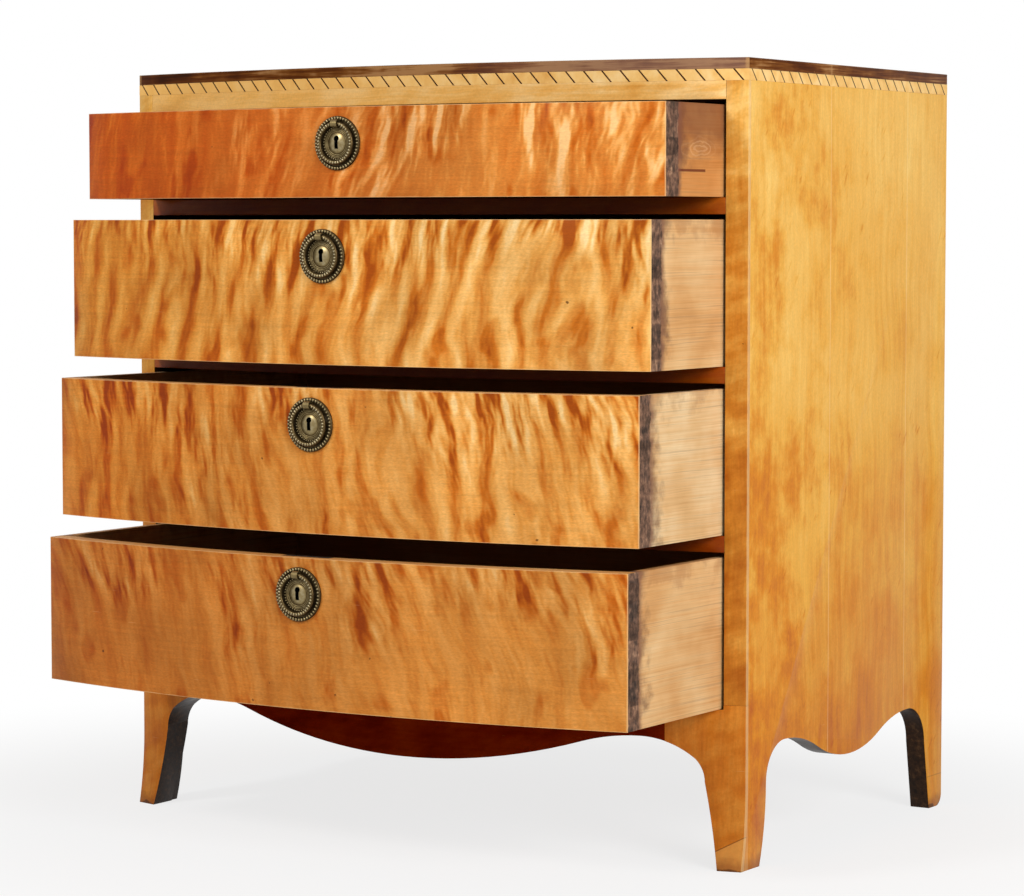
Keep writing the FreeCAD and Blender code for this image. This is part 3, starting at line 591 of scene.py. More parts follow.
def side_tone(place, streaks):
    """How light the side is at each place, with the place's distance from the front and its height."""
    axes = split(place)
    from_front = minus(axes[1], CORNER_Y)
    clouds = noise(scaled(place, (1.0, 1.0, 0.8)), 16.0, 5.0, 0.6, 1.5)
    near_front = smooth(from_front, *CLOUD_SPAN, 1.0, 0.35)
    clouds = times(smooth(clouds, 0.40, 0.73, 0.0, 0.44), near_front)
    slant = leaning(place, (radians(-30), 0.0, 0.0), (40.0, 190.0, 40.0))
    flecks = smooth(noise(slant, 1.0, 2.0, 0.55), 0.60, 0.74)
    sparse = smooth(noise(place, 8.0, 1.0, seed=5.0), 0.48, 0.62, 0.05, 0.25)
    flecks = times(flecks, sparse)
    lower = smooth(axes[2], *ORANGE_SPAN, 0.38, 0.0)
    wide = swing(noise(place, 7.0, 3.0, seed=7.0), 0.6)
    tone = total(0.76, wide, swing(streaks, 0.5))
    for loss in (clouds, flecks, lower):
        tone = minus(tone, loss)
    for joint, step_up in BOARD_JOINTS.items():
        beyond = calc("GREATER_THAN", from_front, joint)
        tone = calc("MULTIPLY_ADD", beyond, step_up, tone)
    return tone, from_front, axes[2]


def side_birch():
    material, place = new_finish("side_birch")
    grain = grained(place, (110.0, 110.0, 5.0), waver=0.03)
    tone, from_front, height = side_tone(place, grain["Streaks"])
    colour = ramp(tone, SIDE_STOPS)
    colour = shade(colour, grain["Fibres"], 0.22)
    colour = shade(colour, noise(place, 400.0, 2.0), 0.25)
    for joint in BOARD_JOINTS:
        colour = stain(near_line(from_front, joint, JOINT_WIDTH), 0.35, colour, "#FFE9B4")
    patch = near_line(height, FOOT_PATCH_Z, JOINT_WIDTH)
    at_heel = calc("GREATER_THAN", split(place)[1], BACK_Y - HEEL_DEPTH)
    colour = stain(times(patch, at_heel), 0.4, colour, "#8A4C1C")
    colour = add_age(place, colour, 30.0, 0.12)
    colour = add_grime(place, colour)
    edges = (Vector((0.0, FACING_Y, -1.0)), Vector((0.0, BACK_Y, RAIL_TOP + 1.0)))
    colour = stain(worn(place, edges, 0, 0.6 * MM), 0.25, colour, BARE)
    colour = add_sawn(place, colour)
    rough = total(0.36, swing(grain["Streaks"], 0.2))
    shellac(colour, rough, grain["Fibres"])
    return material


side_finish = side_birch()
print("side birch:", len(side_finish.node_tree.nodes), "nodes")

# %% [markdown]
# ### Stiles, rails, feet, apron and top
# The frame of the front is amber birch, a shade deeper than the sides, with curl that rises to the right.
# It is painted lighter towards the top, and the stiles lighter still at their top: painted light and
# shade, as the open drawers shade the lower front. The rail is more golden to the left, and the dividers
# and the dull apron are darker and redder, partly as painted shade under the drawers. The top has less
# curl and less shine. The outer arris of the stiles is a pale line, partly rubbed wear and partly a
# painted highlight. The right-hand foot has an old repair: a slanting joint near the toe with a fresher
# piece under it.

# %% Amber birch for the front's frame
FRAME_STOPS = ((0.0, "#A9580F"), (0.35, "#CB8029"), (0.6, "#DEA046"), (0.8, "#EDBB68"), (1.0, "#F8D592"))
JOINT_DARK = "#5A2C10"
GOLD_SPAN = (-0.35, 0.25)
# Painted light: the frame is lighter towards the top, and the stiles lighter at their top, for the shade of
# the open drawers lower down.
PAINTED_LIGHT_SPAN = (0.20, 0.80)
PAINTED_CREST_SPAN = (0.72, 0.84)
TOE_JOINT_HEIGHT = 36 * MM
TOE_JOINT_SLOPE = 0.54


def add_toe_repair(place, colour):
    """A slanting joint across the right-hand toe, with a paler piece below it."""
    axes = split(place)
    inward = minus(axes[0], HALF_WIDTH)
    level = calc("MULTIPLY_ADD", inward, TOE_JOINT_SLOPE, TOE_JOINT_HEIGHT)
    above = minus(axes[2], level)
    right_hand = calc("GREATER_THAN", axes[0], 0.0)
    fresh = times(fade(above, -0.4 * MM, 0.4 * MM), right_hand)
    colour = stain(fresh, 0.35, colour, "#E9B262")
    line = times(near_line(above, 0.0, JOINT_WIDTH), right_hand)
    return stain(line, 0.7, colour, JOINT_DARK)


def yellowed_left(place, colour, strength):
    """A paler gold towards the left."""
    leftward = fade(split(place)[0], *GOLD_SPAN)
    return stain(leftward, strength, colour, "#FFC266")


def frame_birch(name, lightness, stretch, seed, tint="#FFFFFF", curl_depth=0.9, dullness=0.36,
                painted_crest=0.0, gold=0.0, on_floor=False, **polish):
    material, place = new_finish(name)
    grain = grained(place, stretch, seed, waver=0.02)
    slant = leaning(place, (0.0, radians(-22), 0.0), (16.0, 9.0, 34.0))
    curl = noise(slant, 1.0, 4.0, 0.6, seed)
    height = split(place)[2]
    # Painted light and shade: lighter towards the top, where the open drawers shade the front less.
    painted_light_higher = smooth(height, *PAINTED_LIGHT_SPAN, 0.0, 0.22)
    painted_light_crest = smooth(height, *PAINTED_CREST_SPAN, 0.0, painted_crest)
    figure = total(swing(grain["Streaks"], 0.6), swing(curl, curl_depth))
    tone = total(lightness, painted_light_higher, painted_light_crest, figure)
    colour = mix(1.0, ramp(tone, FRAME_STOPS), linear(tint), "MULTIPLY")
    if gold:
        colour = yellowed_left(place, colour, gold)
    colour = shade(colour, grain["Fibres"], 0.3)
    colour = shade(colour, noise(place, 400.0, 2.0), 0.3)
    if on_floor:
        colour = add_toe_repair(place, colour)
        colour = add_grime(place, colour)
    edges = (Vector((-HALF_WIDTH, 0.0, -1.0)), Vector((HALF_WIDTH, 0.0, 2.0)))
    # The pale line on the outer arris is rubbed wear and a painted highlight.
    colour = stain(worn(place, edges, 1, 0.5 * MM), 0.35, colour, "#F6D79C")
    colour = add_age(place, colour, 40.0, 0.1)
    colour = add_sawn(place, colour)
    rough = total(dullness, swing(grain["Streaks"], 0.2))
    shellac(colour, rough, grain["Fibres"], **polish)
    return material


stile_finish = frame_birch("stile_birch", 0.28, (80.0, 80.0, 7.0), 2.0, curl_depth=1.5, painted_crest=0.2)
rail_finish = frame_birch("rail_birch", 0.62, (6.0, 60.0, 160.0), 6.0, "#FFF6F0", gold=0.6)
# The dividers and the apron get darker, redder tints, partly the wood's own colour and partly painted shade
# under the drawers.
divider_finish = frame_birch("divider_birch", 0.30, (6.0, 60.0, 160.0), 16.0, "#BE8640")
foot_finish = frame_birch("foot_birch", 0.38, (70.0, 70.0, 8.0), 8.0, "#F8E2CC", on_floor=True)
apron_finish = frame_birch("apron_birch", 0.34, (8.0, 60.0, 120.0), 13.0, "#84380C", curl_depth=2.2,
                           coat=0.0, specular=0.0)
top_finish = frame_birch("top_birch", 0.42, (5.0, 90.0, 90.0), 19.0, curl_depth=0.5, dullness=0.52)
print("six finishes of frame birch")

# %% [markdown]
# ### Bare pine
# The drawer sides, backs and bottoms and all hidden boards are unpolished pine, with fine lines of summer
# wood along the board. Where a drawer side meets its front the wood is stained dark, and the ends of the
# front are grey-brown end grain with darker blocks, in which the dovetails can hardly be told apart. The
# sides of the first drawer also have a dusky upper half, an oval figure and a split.

# %% Pine and its end grain
PINE_STOPS = ((0.0, "#A67341"), (0.3, "#C9985F"), (0.55, "#DCB07A"), (0.8, "#EACB9C"), (1.0, "#F5DFBA"))
END_STOPS = ((0.0, "#1C130E"), (0.3, "#463429"), (0.5, "#664C3D"), (0.7, "#86644F"), (1.0, "#BC9878"))
END_SEED = 1.0
END_STRIPS = {1: 19 * MM, 2: 14 * MM, 3: 15 * MM, 4: 15 * MM}
SIDE_TINTS = {1: "#ECC69E", 2: "#F8EADA", 3: "#FFFFFF", 4: "#F6E8D8"}


def pine_colour(place, stretch, tint, seed):
    grain = grained(place, stretch, seed, waver=0.003)
    soft = noise(place, 13.0, 3.0, seed=seed)
    tone = total(0.66, swing(grain["Streaks"], 0.7), swing(soft, 1.0))
    colour = mix(1.0, ramp(tone, PINE_STOPS), linear(tint), "MULTIPLY")
    late_wood = smooth(grain["Streaks"], 0.54, 0.64, 0.0, 0.4)
    colour = stain(late_wood, 1.0, colour, "#A06A3A")
    return shade(colour, grain["Fibres"], 0.4), grain["Streaks"]


def bare_wood(colour, height):
    close_finish(colour, 0.62, height, Specular_IOR_Level=0.15)


def pine(name, stretch, tint, seed):
    material, place = new_finish(name)
    bare_wood(*pine_colour(place, stretch, tint, seed))
    return material


def end_grain(place):
    """Grey-brown, weathered end grain with fine grain, clouds and darker blocks."""
    rows = noise(scaled(place, (260.0, 260.0, 110.0)), 1.0, 4.0, 0.7, END_SEED)
    clouds = noise(place, 90.0, 3.0, 0.6, END_SEED)
    stacked = noise(scaled(place, (6.0, 6.0, 50.0)), 1.0, 1.0, 0.5, END_SEED)
    blocks = smooth(stacked, 0.54, 0.60, 0.0, -0.22)
    tone = total(0.54, blocks, swing(rows, 1.5), swing(clouds, 1.5))
    return ramp(tone, END_STOPS)


print("pine can be made")

# %% Old marks on the first drawer's sides
SPLIT_Z = 27 * MM
SPLIT_LENGTH = 60 * MM
SPLIT_WIDTH = 2.0 * MM
DUSK_START = 35 * MM
DUSK_END = 70 * MM
OVAL_Z = 50 * MM
OVAL_BEHIND = 48 * MM
OVAL_SQUEEZE = 0.3
OVAL_WAVES = 1900.0


def oval_rings(place, behind, bottom):
    """The pale rings of an oval figure, which fade out towards its edge."""
    above = minus(split(place)[2], bottom + OVAL_Z)
    along = times(minus(behind, OVAL_BEHIND), OVAL_SQUEEZE)
    reach = length(vector_of(y=along, z=above))
    reach = total(reach, swing(noise(place, 55.0), 10 * MM))
    rings = smooth(calc("SINE", times(reach, OVAL_WAVES)), 0.0, 0.9)
    return times(rings, fade(reach, 6 * MM, 13 * MM))


def add_old_marks(place, colour, behind, bottom):
    """A dusky upper half, an oval figure and a split."""
    height = split(place)[2]
    dusk = total(height, swing(noise(place, 30.0, 3.0), 0.06))
    dusk = smooth(dusk, bottom + DUSK_START, bottom + DUSK_END)
    colour = stain(dusk, 0.75, colour, "#7A4428")
    colour = stain(oval_rings(place, behind, bottom), 0.3, colour, "#E2B384")
    line = near_line(height, bottom + SPLIT_Z, SPLIT_WIDTH)
    line = times(line, calc("LESS_THAN", behind, SPLIT_LENGTH))
    return stain(line, 0.85, colour, "#5E1A0A")


print("old marks can be made")


# %% Pine for the drawers and the hidden boards
def drawer_side_pine(number):
    """Pine that turns to grey where its tails lie in the front, with a stain behind them."""
    material, place = new_finish(f"drawer_side_pine_{number}")
    axes = split(place)
    colour, height = pine_colour(place, (60.0, 4.0, 380.0), SIDE_TINTS[number], 3.0 * number)
    low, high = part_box(f"drawer_{number}_sides")
    behind = minus(axes[1], low.y + END_STRIPS[number])
    ragged = swing(noise(place, 26.0, 4.0, 0.6, number), 0.12)
    soaked = fade(total(behind, ragged), -8 * MM, 24 * MM)
    colour = stain(soaked, 0.8, colour, "#6A4634")
    top_rub = smooth(total(axes[2], ragged), high.z - 20 * MM, high.z)
    colour = stain(top_rub, 0.35, colour, "#9A6238")
    if number == 1:
        colour = add_old_marks(place, colour, behind, low.z)
    torn = swing(noise(place, 90.0, 3.0, 0.6, number), 0.012)
    fringe = fade(total(behind, torn), 3 * MM, 13 * MM)
    colour = stain(fringe, 0.55, colour, "#7C5040")
    grey = fade(total(behind, torn), 1.5 * MM, 4.5 * MM)
    colour = mix(times(grey, 0.92), colour, end_grain(place))
    bare_wood(colour, height)
    return material


def core_pine():
    """The pine core of the fronts: bare along the board and grey at the ends."""
    material, place = new_finish("core_pine")
    colour, height = pine_colour(place, (5.0, 60.0, 200.0), "#E8CDA8", 17.0)
    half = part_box("drawer_1_front")[1].x
    aside = calc("ABSOLUTE", split(place)[0])
    at_end = smooth(aside, half - 1.2 * MM, half - 0.4 * MM)
    colour = mix(at_end, colour, end_grain(place))
    # Painted shade in the keyholes.
    colour = painted_keyhole_shade(place, colour, [pull.height for pull in pulls.values()])
    bare_wood(colour, height)
    return material


side_pine = {number: drawer_side_pine(number) for number in DRAWERS}
core_finish = core_pine()
# The boards inside are darker pine: partly aged wood, partly painted shade for the dark inside of the chest
# and its drawers.
drawer_pine = pine("drawer_pine", (5.0, 60.0, 180.0), "#C9A988", 5.0)
hidden_pine = pine("hidden_pine", (60.0, 60.0, 6.0), "#B08E6C", 9.0)
runner_pine = pine("runner_pine", (60.0, 5.0, 160.0), "#7A5A40", 12.0)
print("pine finishes:", len(side_pine) + 4)

# %% [markdown]
# ### Top edge
# The edge of the top is a dark crossband. Along the front it is lighter towards the right, where a painted
# sheen greys it as a reflection would. It has pale joints at its corners and on its sides. Under it runs a
# pale inlay with slanting dark lines.

# %% Dark band, dark lines and pale inlay
BAND_STOPS = ((0.0, "#150500"), (0.35, "#3E1A02"), (0.6, "#5A2C0A"), (0.8, "#7A481C"), (1.0, "#A87A4C"))
PALE_STOPS = ((0.0, "#DA963E"), (0.5, "#F6C678"), (1.0, "#FFE0A6"))
LINE_STOPS = ((0.0, "#1C0F09"), (0.6, "#4A2812"), (1.0, "#7A4A24"))
BAND_JOINTS = (0.0, 190 * MM)
BAND_JOINT_WIDTH = 1.2 * MM
BAND_REACH = Vector((10.0, 0.0, 0.0))
BAND_PALE = "#C79A66"
FRONT_LIFT_SPAN = (-0.33, -0.05)
# Along X, where the painted sheen lies on the front.
SHEEN_SPAN = (0.0, 0.30)


def dark_band():
    material, place = new_finish("dark_band")
    grain = grained(place, (14.0, 14.0, 330.0), 21.0)
    clouds = noise(place, 18.0, 3.0, 0.6)
    axes = split(place)
    from_front = minus(axes[1], CORNER_Y)
    on_front = fade(from_front, -2 * MM, 2 * MM)
    front_lift = times(on_front, smooth(axes[0], *FRONT_LIFT_SPAN, -0.22, 0.2))
    tone = total(0.68, front_lift, swing(grain["Streaks"], 1.3), swing(clouds, 1.2))
    colour = ramp(tone, BAND_STOPS)
    # Painted sheen: a grey reflection laid on the front towards the right.
    painted_sheen = times(on_front, smooth(axes[0], *SHEEN_SPAN))
    colour = stain(painted_sheen, 0.4, colour, "#8C7068")
    for joint in BAND_JOINTS:
        colour = stain(near_line(from_front, joint, BAND_JOINT_WIDTH), 0.5, colour, BAND_PALE)
    low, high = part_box("top_edge_band")
    edge = worn(place, (low - BAND_REACH, high + BAND_REACH), 1, 1.0 * MM)
    colour = stain(edge, 0.35, colour, "#9C7B58")
    marks = placed(AGE, {"Vector": place, "Specks per metre": 60.0, "Share": 0.3})
    colour = stain(marks["Specks"], 0.7, colour, BAND_PALE)
    close_finish(colour, 0.42, grain["Streaks"], Specular_IOR_Level=0.04)
    return material


def plain_inlay(name, stops, gold=0.0):
    material, place = new_finish(name)
    grain = grained(place, (90.0, 90.0, 60.0), 31.0)
    tone = total(0.5, swing(grain["Streaks"], 0.9), swing(noise(place, 35.0), 0.9))
    colour = ramp(tone, stops)
    if gold:
        colour = yellowed_left(place, colour, gold)
    close_finish(colour, 0.42, grain["Fibres"], Specular_IOR_Level=0.06)
    return material


band_finish = dark_band()
inlay_finish = plain_inlay("pale_inlay", PALE_STOPS, gold=0.6)
line_finish = plain_inlay("dark_inlay", LINE_STOPS)
print("top edge finishes ready")

# %% [markdown]
# ### Brass and iron
# The brass has not been polished for years: olive brown in the hollows and paler where fingers rub it.
# The keyholes are painted black as the shade inside them, and so is a thin edge round them. Each brass
# piece carries an attribute named polish, which is high on what stands proud. The locks are iron.

# %% Old brass and dark iron
BRASS_STOPS = ((0.0, "#1A1208"), (0.3, "#4E3E22"), (0.6, "#86744C"), (0.85, "#AEA282"), (1.0, "#CEC6AC"))
# The keyholes are painted black, as the shade inside them, with a thin black edge round them.
EYE_RISE = 5.0 * MM
EYE_RADIUS = 3.0 * MM
SLOT_HALF_WIDTH = 2.0 * MM
SLOT_DROP = 6.0 * MM
BLACK_EDGE = 0.5 * MM


def keyhole_shade_and_edge(place, pull):
    """1 in a pull's keyhole, where black stands for the shade in the hole, and on a thin edge round it."""
    axes = split(place)
    above = minus(axes[2], pull.height)
    from_eye = length(vector_of(x=axes[0], z=minus(above, EYE_RISE)))
    eye = fade(from_eye, EYE_RADIUS, EYE_RADIUS + BLACK_EDGE)
    aside = calc("ABSOLUTE", axes[0])
    slot = fade(aside, SLOT_HALF_WIDTH, SLOT_HALF_WIDTH + BLACK_EDGE)
    slot = times(slot, calc("GREATER_THAN", above, -SLOT_DROP))
    slot = times(slot, calc("LESS_THAN", above, EYE_RISE))
    return calc("MAXIMUM", eye, slot)


def old_brass():
    material, place = new_finish("old_brass")
    polish = stored(place, "polish")
    clouds = noise(place, 220.0, 3.0, 0.6)
    tone = total(polish, swing(clouds, 0.5))
    dull = calc("MULTIPLY_ADD", polish, -0.22, total(0.48, swing(clouds, 0.2)))
    colour = ramp(tone, BRASS_STOPS)
    # Painted shade: black in each keyhole and on a thin edge round it.
    for pull in pulls.values():
        colour = stain(keyhole_shade_and_edge(place, pull), 1.0, colour, "#070503")
    close_finish(colour, dull, clouds, depth=0.1 * MM, Metallic=0.85)
    return material


def lock_iron():
    material, place = new_finish("lock_iron")
    clouds = noise(place, 120.0, 4.0, 0.65)
    colour = ramp(clouds, ((0.25, "#1E1A18"), (0.55, "#3C3430"), (0.8, "#6B4A34")))
    close_finish(colour, total(0.55, swing(clouds, 0.3)), clouds, Metallic=0.7)
    return material


brass_finish = old_brass()
iron_finish = lock_iron()
print("metals ready")

# %% [markdown]
# ## Boards with eased edges
# CAD boards end in perfect arrises, and no real board does: the light always finds a thin rounded line
# there. A copy of each wooden node is merged, its flat faces are joined, and a fine Bevel eases its edges.
# The copy then stands for the node. Faces meet smoothly along the bow and stay crisp at the arrises.

# %% Ease the edges of a copy
EASE = 0.5 * MM
DRAWER_EASE = 0.35 * MM
EASE_STEPS = 2
SHARP = radians(28)
FLAT = radians(0.4)
MERGE_DISTANCE = 0.002 * MM  # points closer than this become one


def new_object(name, data):
    item = bpy.data.objects.new(name, data)
    bpy.context.scene.collection.objects.link(item)
    return item


def merged_copy(node):
    mesh = nodes[node].data.copy()
    work = bmesh.new()
    work.from_mesh(mesh)
    bmesh.ops.remove_doubles(work, verts=work.verts, dist=MERGE_DISTANCE)
    bmesh.ops.dissolve_limit(work, angle_limit=FLAT, verts=work.verts, edges=work.edges)
    work.to_mesh(mesh)
    work.free()
    return mesh


def plain_mesh(item):
    """What the modifiers of an object give, as a mesh of its own."""
    view = bpy.context.evaluated_depsgraph_get()
    return bpy.data.meshes.new_from_object(item.evaluated_get(view))


def soften(mesh):
    mesh.shade_smooth()
    mesh.set_sharp_from_angle(angle=SHARP)


def stand_in(item, node):
    """Puts an object in a node's place, on the node's body, and hides the node."""
    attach(item, nodes[node]["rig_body"])
    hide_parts(node)


def eased(node, finish, width=EASE):
    name = node + "_eased"
    item = new_object(name, merged_copy(node))
    bevel = item.modifiers.new("ease", "BEVEL")
    bevel.width = width
    bevel.segments = EASE_STEPS
    bevel.limit_method = "ANGLE"
    bevel.angle_limit = SHARP
    item.data = plain_mesh(item)
    item.modifiers.clear()
    item.data.name = name
    soften(item.data)
    item.data.materials.clear()
    item.data.materials.append(finish)
    stand_in(item, node)
    return item


def paint(node, finish):
    """Gives a node that stays as it is a better finish."""
    nodes[node].data.materials.clear()
    nodes[node].data.materials.append(finish)


print("boards can be eased")

# %% [markdown]
# The frame's boards were polished only where they show. Each of them names the ways that its polished
# faces turn, and every other face of it is marked as sawn. Sawn faces at the back are paler than the
# other sawn faces, which lie underneath and inside.

# %% Carcass boards
FRONT = Vector((0.0, -1.0, 0.0))
RIGHT = Vector((1.0, 0.0, 0.0))
UP = Vector((0.0, 0.0, 1.0))
BACK_SAWN = 0.55
POLISHED_TURN = 0.35
BACK_TURN = -0.7


def mark_sawn(item, polished_ways):
    attribute = item.data.attributes.new("sawn", "FLOAT", "FACE")
    for face in item.data.polygons:
        polished = any(face.normal.dot(way) > POLISHED_TURN for way in polished_ways)
        sawn = BACK_SAWN if face.normal.dot(FRONT) < BACK_TURN else 1.0
        attribute.data[face.index].value = 0.0 if polished else sawn


POLISHED = {"top_board": (top_finish, [UP])}
for board, finish, ways in (("side_panel", side_finish, []), ("front_stile", stile_finish, [FRONT]),
                            ("front_foot", foot_finish, [FRONT])):
    POLISHED[board + "_right"] = (finish, ways + [RIGHT])
    POLISHED[board + "_left"] = (finish, ways + [-RIGHT])
POLISHED["apron"] = (apron_finish, [FRONT])
POLISHED["top_rail"] = (rail_finish, [FRONT])
for number in (1, 2, 3):
    POLISHED[f"divider_rail_{number}"] = (divider_finish, [FRONT])
UNPOLISHED = {
    "top_edge_band": band_finish, "bottom_board": drawer_pine, "back_boards": hidden_pine,
    "drawer_runners": runner_pine, "drawer_stops": runner_pine, "glue_blocks": runner_pine,
}
boards = []
for node, (finish, ways) in POLISHED.items():
    boards.append(eased(node, finish))
    mark_sawn(boards[-1], ways)
boards += [eased(node, finish) for node, finish in UNPOLISHED.items()]
paint("inlay_band", inlay_finish)
paint("inlay_lines", line_finish)
print("carcass boards eased:", len(boards))

# %% Drawer boards
for number in DRAWERS:
    head = f"drawer_{number}_"
    boards.append(eased(head + "veneer", flame_finish[number], DRAWER_EASE))
    boards.append(eased(head + "front", core_finish, DRAWER_EASE))
    boards.append(eased(head + "sides", side_pine[number]))
    boards.append(eased(head + "back", drawer_pine))
    boards.append(eased(head + "bottom", drawer_pine))
    paint(head + "lock_case", iron_finish)
    paint(head + "lock_bolt", iron_finish)
print("all boards eased:", len(boards), "with", sum(len(b.data.polygons) for b in boards), "faces")

# %% [markdown]
# ## Ring pulls
# Each pull is a stamped brass plate with a beaded rim, fine turned rings in its dish and a domed boss with
# the keyhole, and a milled ring that hangs in a knuckle. The CAD plate, ring and knuckle have the shapes,
# and are carried over as merged copies that know which of their points stand proud. The beads repeat round
# a circle, so Geometry Nodes set them: a circle of points, an oval bead on each, turned to face outwards.

# %% A tree that sets beads round a circle
BEAD_SEGMENTS = 8
BEAD_ROWS = 5


def bead_tree():
    tree = bpy.data.node_groups.new("Bead circle", "GeometryNodeTree")
    tree.interface.new_socket("Geometry", in_out="OUTPUT", socket_type="NodeSocketGeometry")
    for label, kind in (("Count", "NodeSocketInt"), ("Radius", NUMBER), ("Bead size", PLACE),
                        ("Start", NUMBER), ("Sweep", NUMBER), ("Middle", PLACE),
                        ("Finish", "NodeSocketMaterial")):
        tree.interface.new_socket(label, in_out="INPUT", socket_type=kind)
    given = tree.nodes.new("NodeGroupInput").outputs
    result = tree.nodes.new("NodeGroupOutput").inputs
    row = grow("GeometryNodeMeshLine", {"Count": given["Count"], "Offset": ORIGIN}).outputs[0]
    index = add(tree, "GeometryNodeInputIndex").outputs[0]
    pitch = calc("DIVIDE", given["Sweep"], given["Count"])
    angle = calc("MULTIPLY_ADD", total(index, 0.5), pitch, given["Start"])
    spot = vector_of(x=times(calc("SINE", angle), given["Radius"]),
                     z=times(calc("COSINE", angle), given["Radius"]))
    ring = grow("GeometryNodeSetPosition", {"Geometry": row, "Position": spot}).outputs[0]
    shape = {"Segments": BEAD_SEGMENTS, "Rings": BEAD_ROWS, "Radius": 1.0}
    bead = add(tree, "GeometryNodeMeshUVSphere", shape).outputs[0]
    beads = grow("GeometryNodeInstanceOnPoints", {
        "Points": ring, "Instance": bead, "Rotation": vector_of(y=angle),
        "Scale": given["Bead size"]}).outputs[0]
    solid = grow("GeometryNodeRealizeInstances", {0: beads}).outputs[0]
    rounded = grow("GeometryNodeSetShadeSmooth", {"Geometry": solid}).outputs[0]
    shift = {"Geometry": rounded, "Translation": given["Middle"]}
    moved = grow("GeometryNodeTransform", shift).outputs[0]
    look = {"Geometry": moved, "Material": given["Finish"]}
    finished = grow("GeometryNodeSetMaterial", look).outputs[0]
    tree.links.new(finished, result["Geometry"])
    return tree


BEADS = bead_tree()
bead_sockets = BEADS.interface.items_tree
BEAD_INPUTS = {item.name: item.identifier for item in bead_sockets if item.in_out == "INPUT"}
print("bead tree:", len(BEADS.nodes), "nodes, inputs", list(BEAD_INPUTS))

# %% Beads as a plain mesh
FULL_TURN = radians(360)


def bead_mesh(**choices):
    """A circle of beads, as a mesh of its own."""
    item = new_object("beads", bpy.data.meshes.new("beads_start"))
    modifier = item.modifiers.new("beads", "NODES")
    modifier.node_group = BEADS
    for label, choice in choices.items():
        modifier[BEAD_INPUTS[label.replace("_", " ")]] = choice
    modifier[BEAD_INPUTS["Finish"]] = brass_finish
    mesh = plain_mesh(item)
    bpy.data.objects.remove(item)
    return mesh


def share_of(low, high, value):
    return min(max((value - low) / (high - low), 0.0), 1.0)


def set_polish(mesh, polish_at):
    """Stores how rubbed each point is, from 0 in the hollows to 1 on what stands proud."""
    attribute = mesh.attributes.new("polish", "FLOAT", "POINT")
    for index, vertex in enumerate(mesh.vertices):
        attribute.data[index].value = polish_at(vertex.co)


def rubbed_tips(mesh, tip_y, depth, low=0.1, high=0.85):
    """Polish that falls from the foremost points to those a depth behind them."""
    set_polish(mesh, lambda point: high - (high - low) * share_of(tip_y, tip_y + depth, point.y))


print("beads can be made")

# %% [markdown]
# The dish of the plate has fine raised rings. They are turned work: a small round profile spun about the
# middle of the plate.

# %% Turned rings
RING_STEPS = 72
PROFILE_STEPS = 8


def turned_ring(radius, wire, pull, proud):
    """A thin round ring that lies in the plate's face."""
    work = bmesh.new()
    bmesh.ops.create_circle(work, cap_ends=False, radius=wire, segments=PROFILE_STEPS)
    bmesh.ops.translate(work, vec=(radius, 0.0, 0.0), verts=work.verts)
    bmesh.ops.spin(work, geom=work.verts[:] + work.edges[:], cent=ORIGIN, axis=(0.0, 1.0, 0.0),
                   angle=FULL_TURN, steps=RING_STEPS, use_merge=True)
    bmesh.ops.remove_doubles(work, verts=work.verts, dist=MERGE_DISTANCE)
    bmesh.ops.recalc_face_normals(work, faces=work.faces)
    for face in work.faces:
        face.smooth = True
    bmesh.ops.translate(work, vec=(0.0, pull.face_y - proud, pull.height), verts=work.verts)
    mesh = bpy.data.meshes.new("turned_ring")
    work.to_mesh(mesh)
    work.free()
    return mesh


def brass_piece(name, meshes, node):
    """Joins meshes into one brass piece that stands in for a node."""
    work = bmesh.new()
    for mesh in meshes:
        work.from_mesh(mesh)
    whole = bpy.data.meshes.new(name)
    work.to_mesh(whole)
    work.free()
    item = new_object(name, whole)
    whole.materials.append(brass_finish)
    stand_in(item, node)
    return item


print("turned work ready")

# %% [markdown]
# On the plate the boss is rubbed bright and the dish and the ground of the rim are dark, so that the beads
# stand out. The ring is milled across, all the way round except at the knuckle.

# %% Make the four pulls
PLATE_FACE = 1.4 * MM
BOSS_RADIUS = 11.0 * MM
RIM_RADIUS = 26.8 * MM
RIM_CREST = 3.0 * MM
RIM_SINK = 0.4 * MM
RIM_BEADS = 46
RIM_BEAD = (1.05 * MM, 1.25 * MM, 2.1 * MM)
DISH_RADIUS = 17.3 * MM
DISH_BEADS = 36
DISH_BEAD = (1.0 * MM, 0.85 * MM, 1.0 * MM)
DISH_RINGS = {12.5 * MM: 0.5 * MM, 14.1 * MM: 0.55 * MM, 15.5 * MM: 0.4 * MM}
RING_SINK = 0.35 * MM
RING_BEADS = 36
RING_BEAD = (1.05 * MM, 1.1 * MM, 1.9 * MM)
KNUCKLE_TURN = radians(15)


